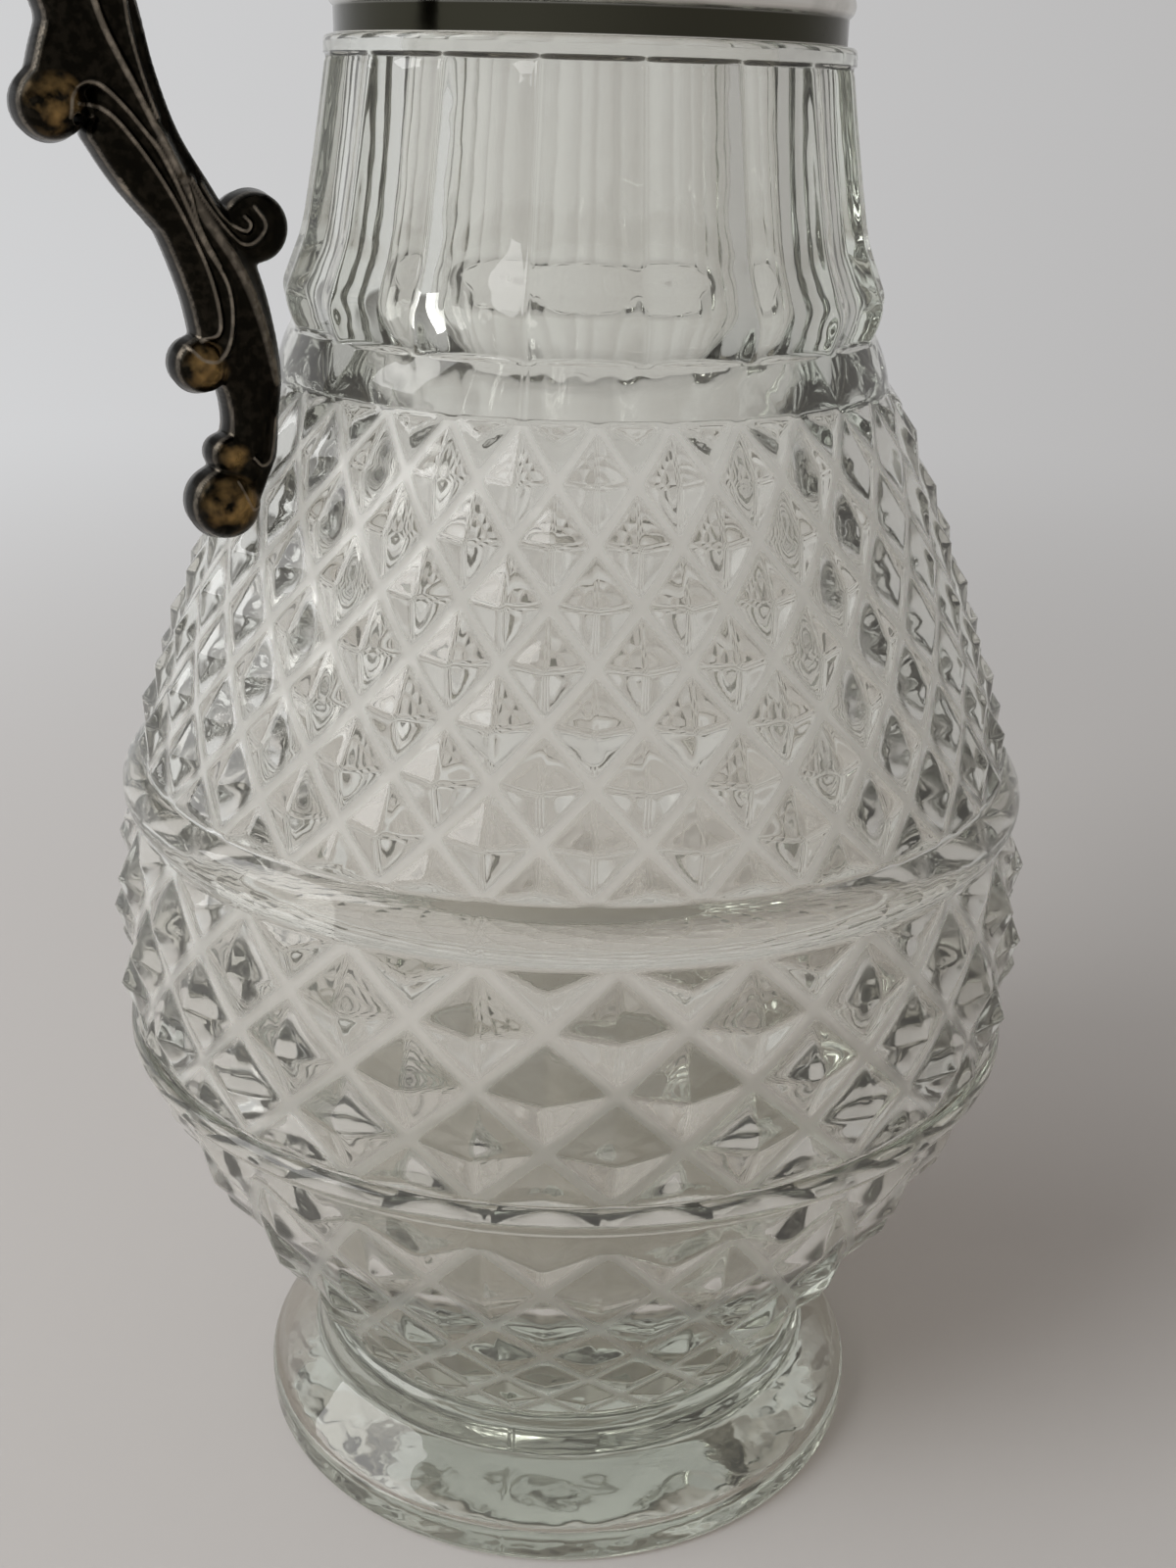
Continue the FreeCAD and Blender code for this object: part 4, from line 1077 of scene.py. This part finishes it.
def room_light():
    """Soft room, pale at the horizon, darker at the left and behind the camera, with a window and a lamp."""
    world = bpy.data.worlds.new("room")
    bpy.context.scene.world = world
    world.use_nodes = True
    nodes, links = world.node_tree.nodes, world.node_tree.links
    place = nodes.new("ShaderNodeTexCoord")
    side = side_of(nodes, links, place.outputs["Generated"])
    ahead = spread_over(nodes, links, side.outputs["Y"], ROOM_TURN, WHOLE)
    above = spread_over(nodes, links, side.outputs["Z"], CEILING_RISE, WHOLE)
    beside = spread_over(nodes, links, side.outputs["X"], SIDE_TURN, WHOLE)
    over_horizon = spread_over(nodes, links, side.outputs["Z"], HORIZON_BAND, WHOLE)
    pale = backdrop(nodes, links, side)
    walls = blend(nodes, links, ahead, ROOM_DARK, pale)
    walls = blend(nodes, links, beside, walls, SIDE_DARK)
    walls = blend(nodes, links, over_horizon, pale, walls)
    background = nodes["Background"]
    links.new(blend(nodes, links, above, walls, ROOM_PALE), background.inputs["Color"])
    lamp("window", WINDOW_PLACE, WINDOW_SIDE, WINDOW_POWER)
    shadow_lamp = lamp("shadow_lamp", SHADOW_LAMP_PLACE, SHADOW_LAMP_SIDE, SHADOW_LAMP_POWER)
    shadow_lamp.visible_glossy = False
    shadow_lamp.visible_transmission = False


def camera():
    """Camera at the photograph's place, with its tilt and slight roll."""
    angles = (CAMERA_TURN, CAMERA_PITCH, CAMERA_YAW, CAMERA_ROLL)
    turn, pitch, yaw, roll = (math.radians(angle) for angle in angles)
    level = Vector((math.sin(yaw), math.cos(yaw), 0))
    right = Vector((math.cos(yaw), -math.sin(yaw), 0))
    upright = Vector((0, 0, 1))
    forward = level * math.cos(pitch) - upright * math.sin(pitch)
    above = level * math.sin(pitch) + upright * math.cos(pitch)
    rolled_right = right * math.cos(roll) + above * math.sin(roll)
    rolled_above = above * math.cos(roll) - right * math.sin(roll)
    facing = Matrix((rolled_right, rolled_above, -forward)).transposed().to_4x4()
    data = bpy.data.cameras.new("photo_camera")
    data.sensor_width = SENSOR_MM
    data.lens = SENSOR_MM * FOCAL_PIXELS / IMAGE_HEIGHT
    data.clip_start = NEAREST_SEEN
    piece = bpy.data.objects.new("photo_camera", data)
    place = Matrix.Translation((0, -CAMERA_DISTANCE, CAMERA_HEIGHT))
    piece.matrix_world = Matrix.Rotation(turn, 4, "Z") @ place @ facing
    bpy.context.scene.collection.objects.link(piece)
    bpy.context.scene.camera = piece


bpy.context.scene.view_settings.view_transform = "Standard"
glass_body()
dress_nodes(scroll_handle())
floor_sheet()
room_light()
camera()
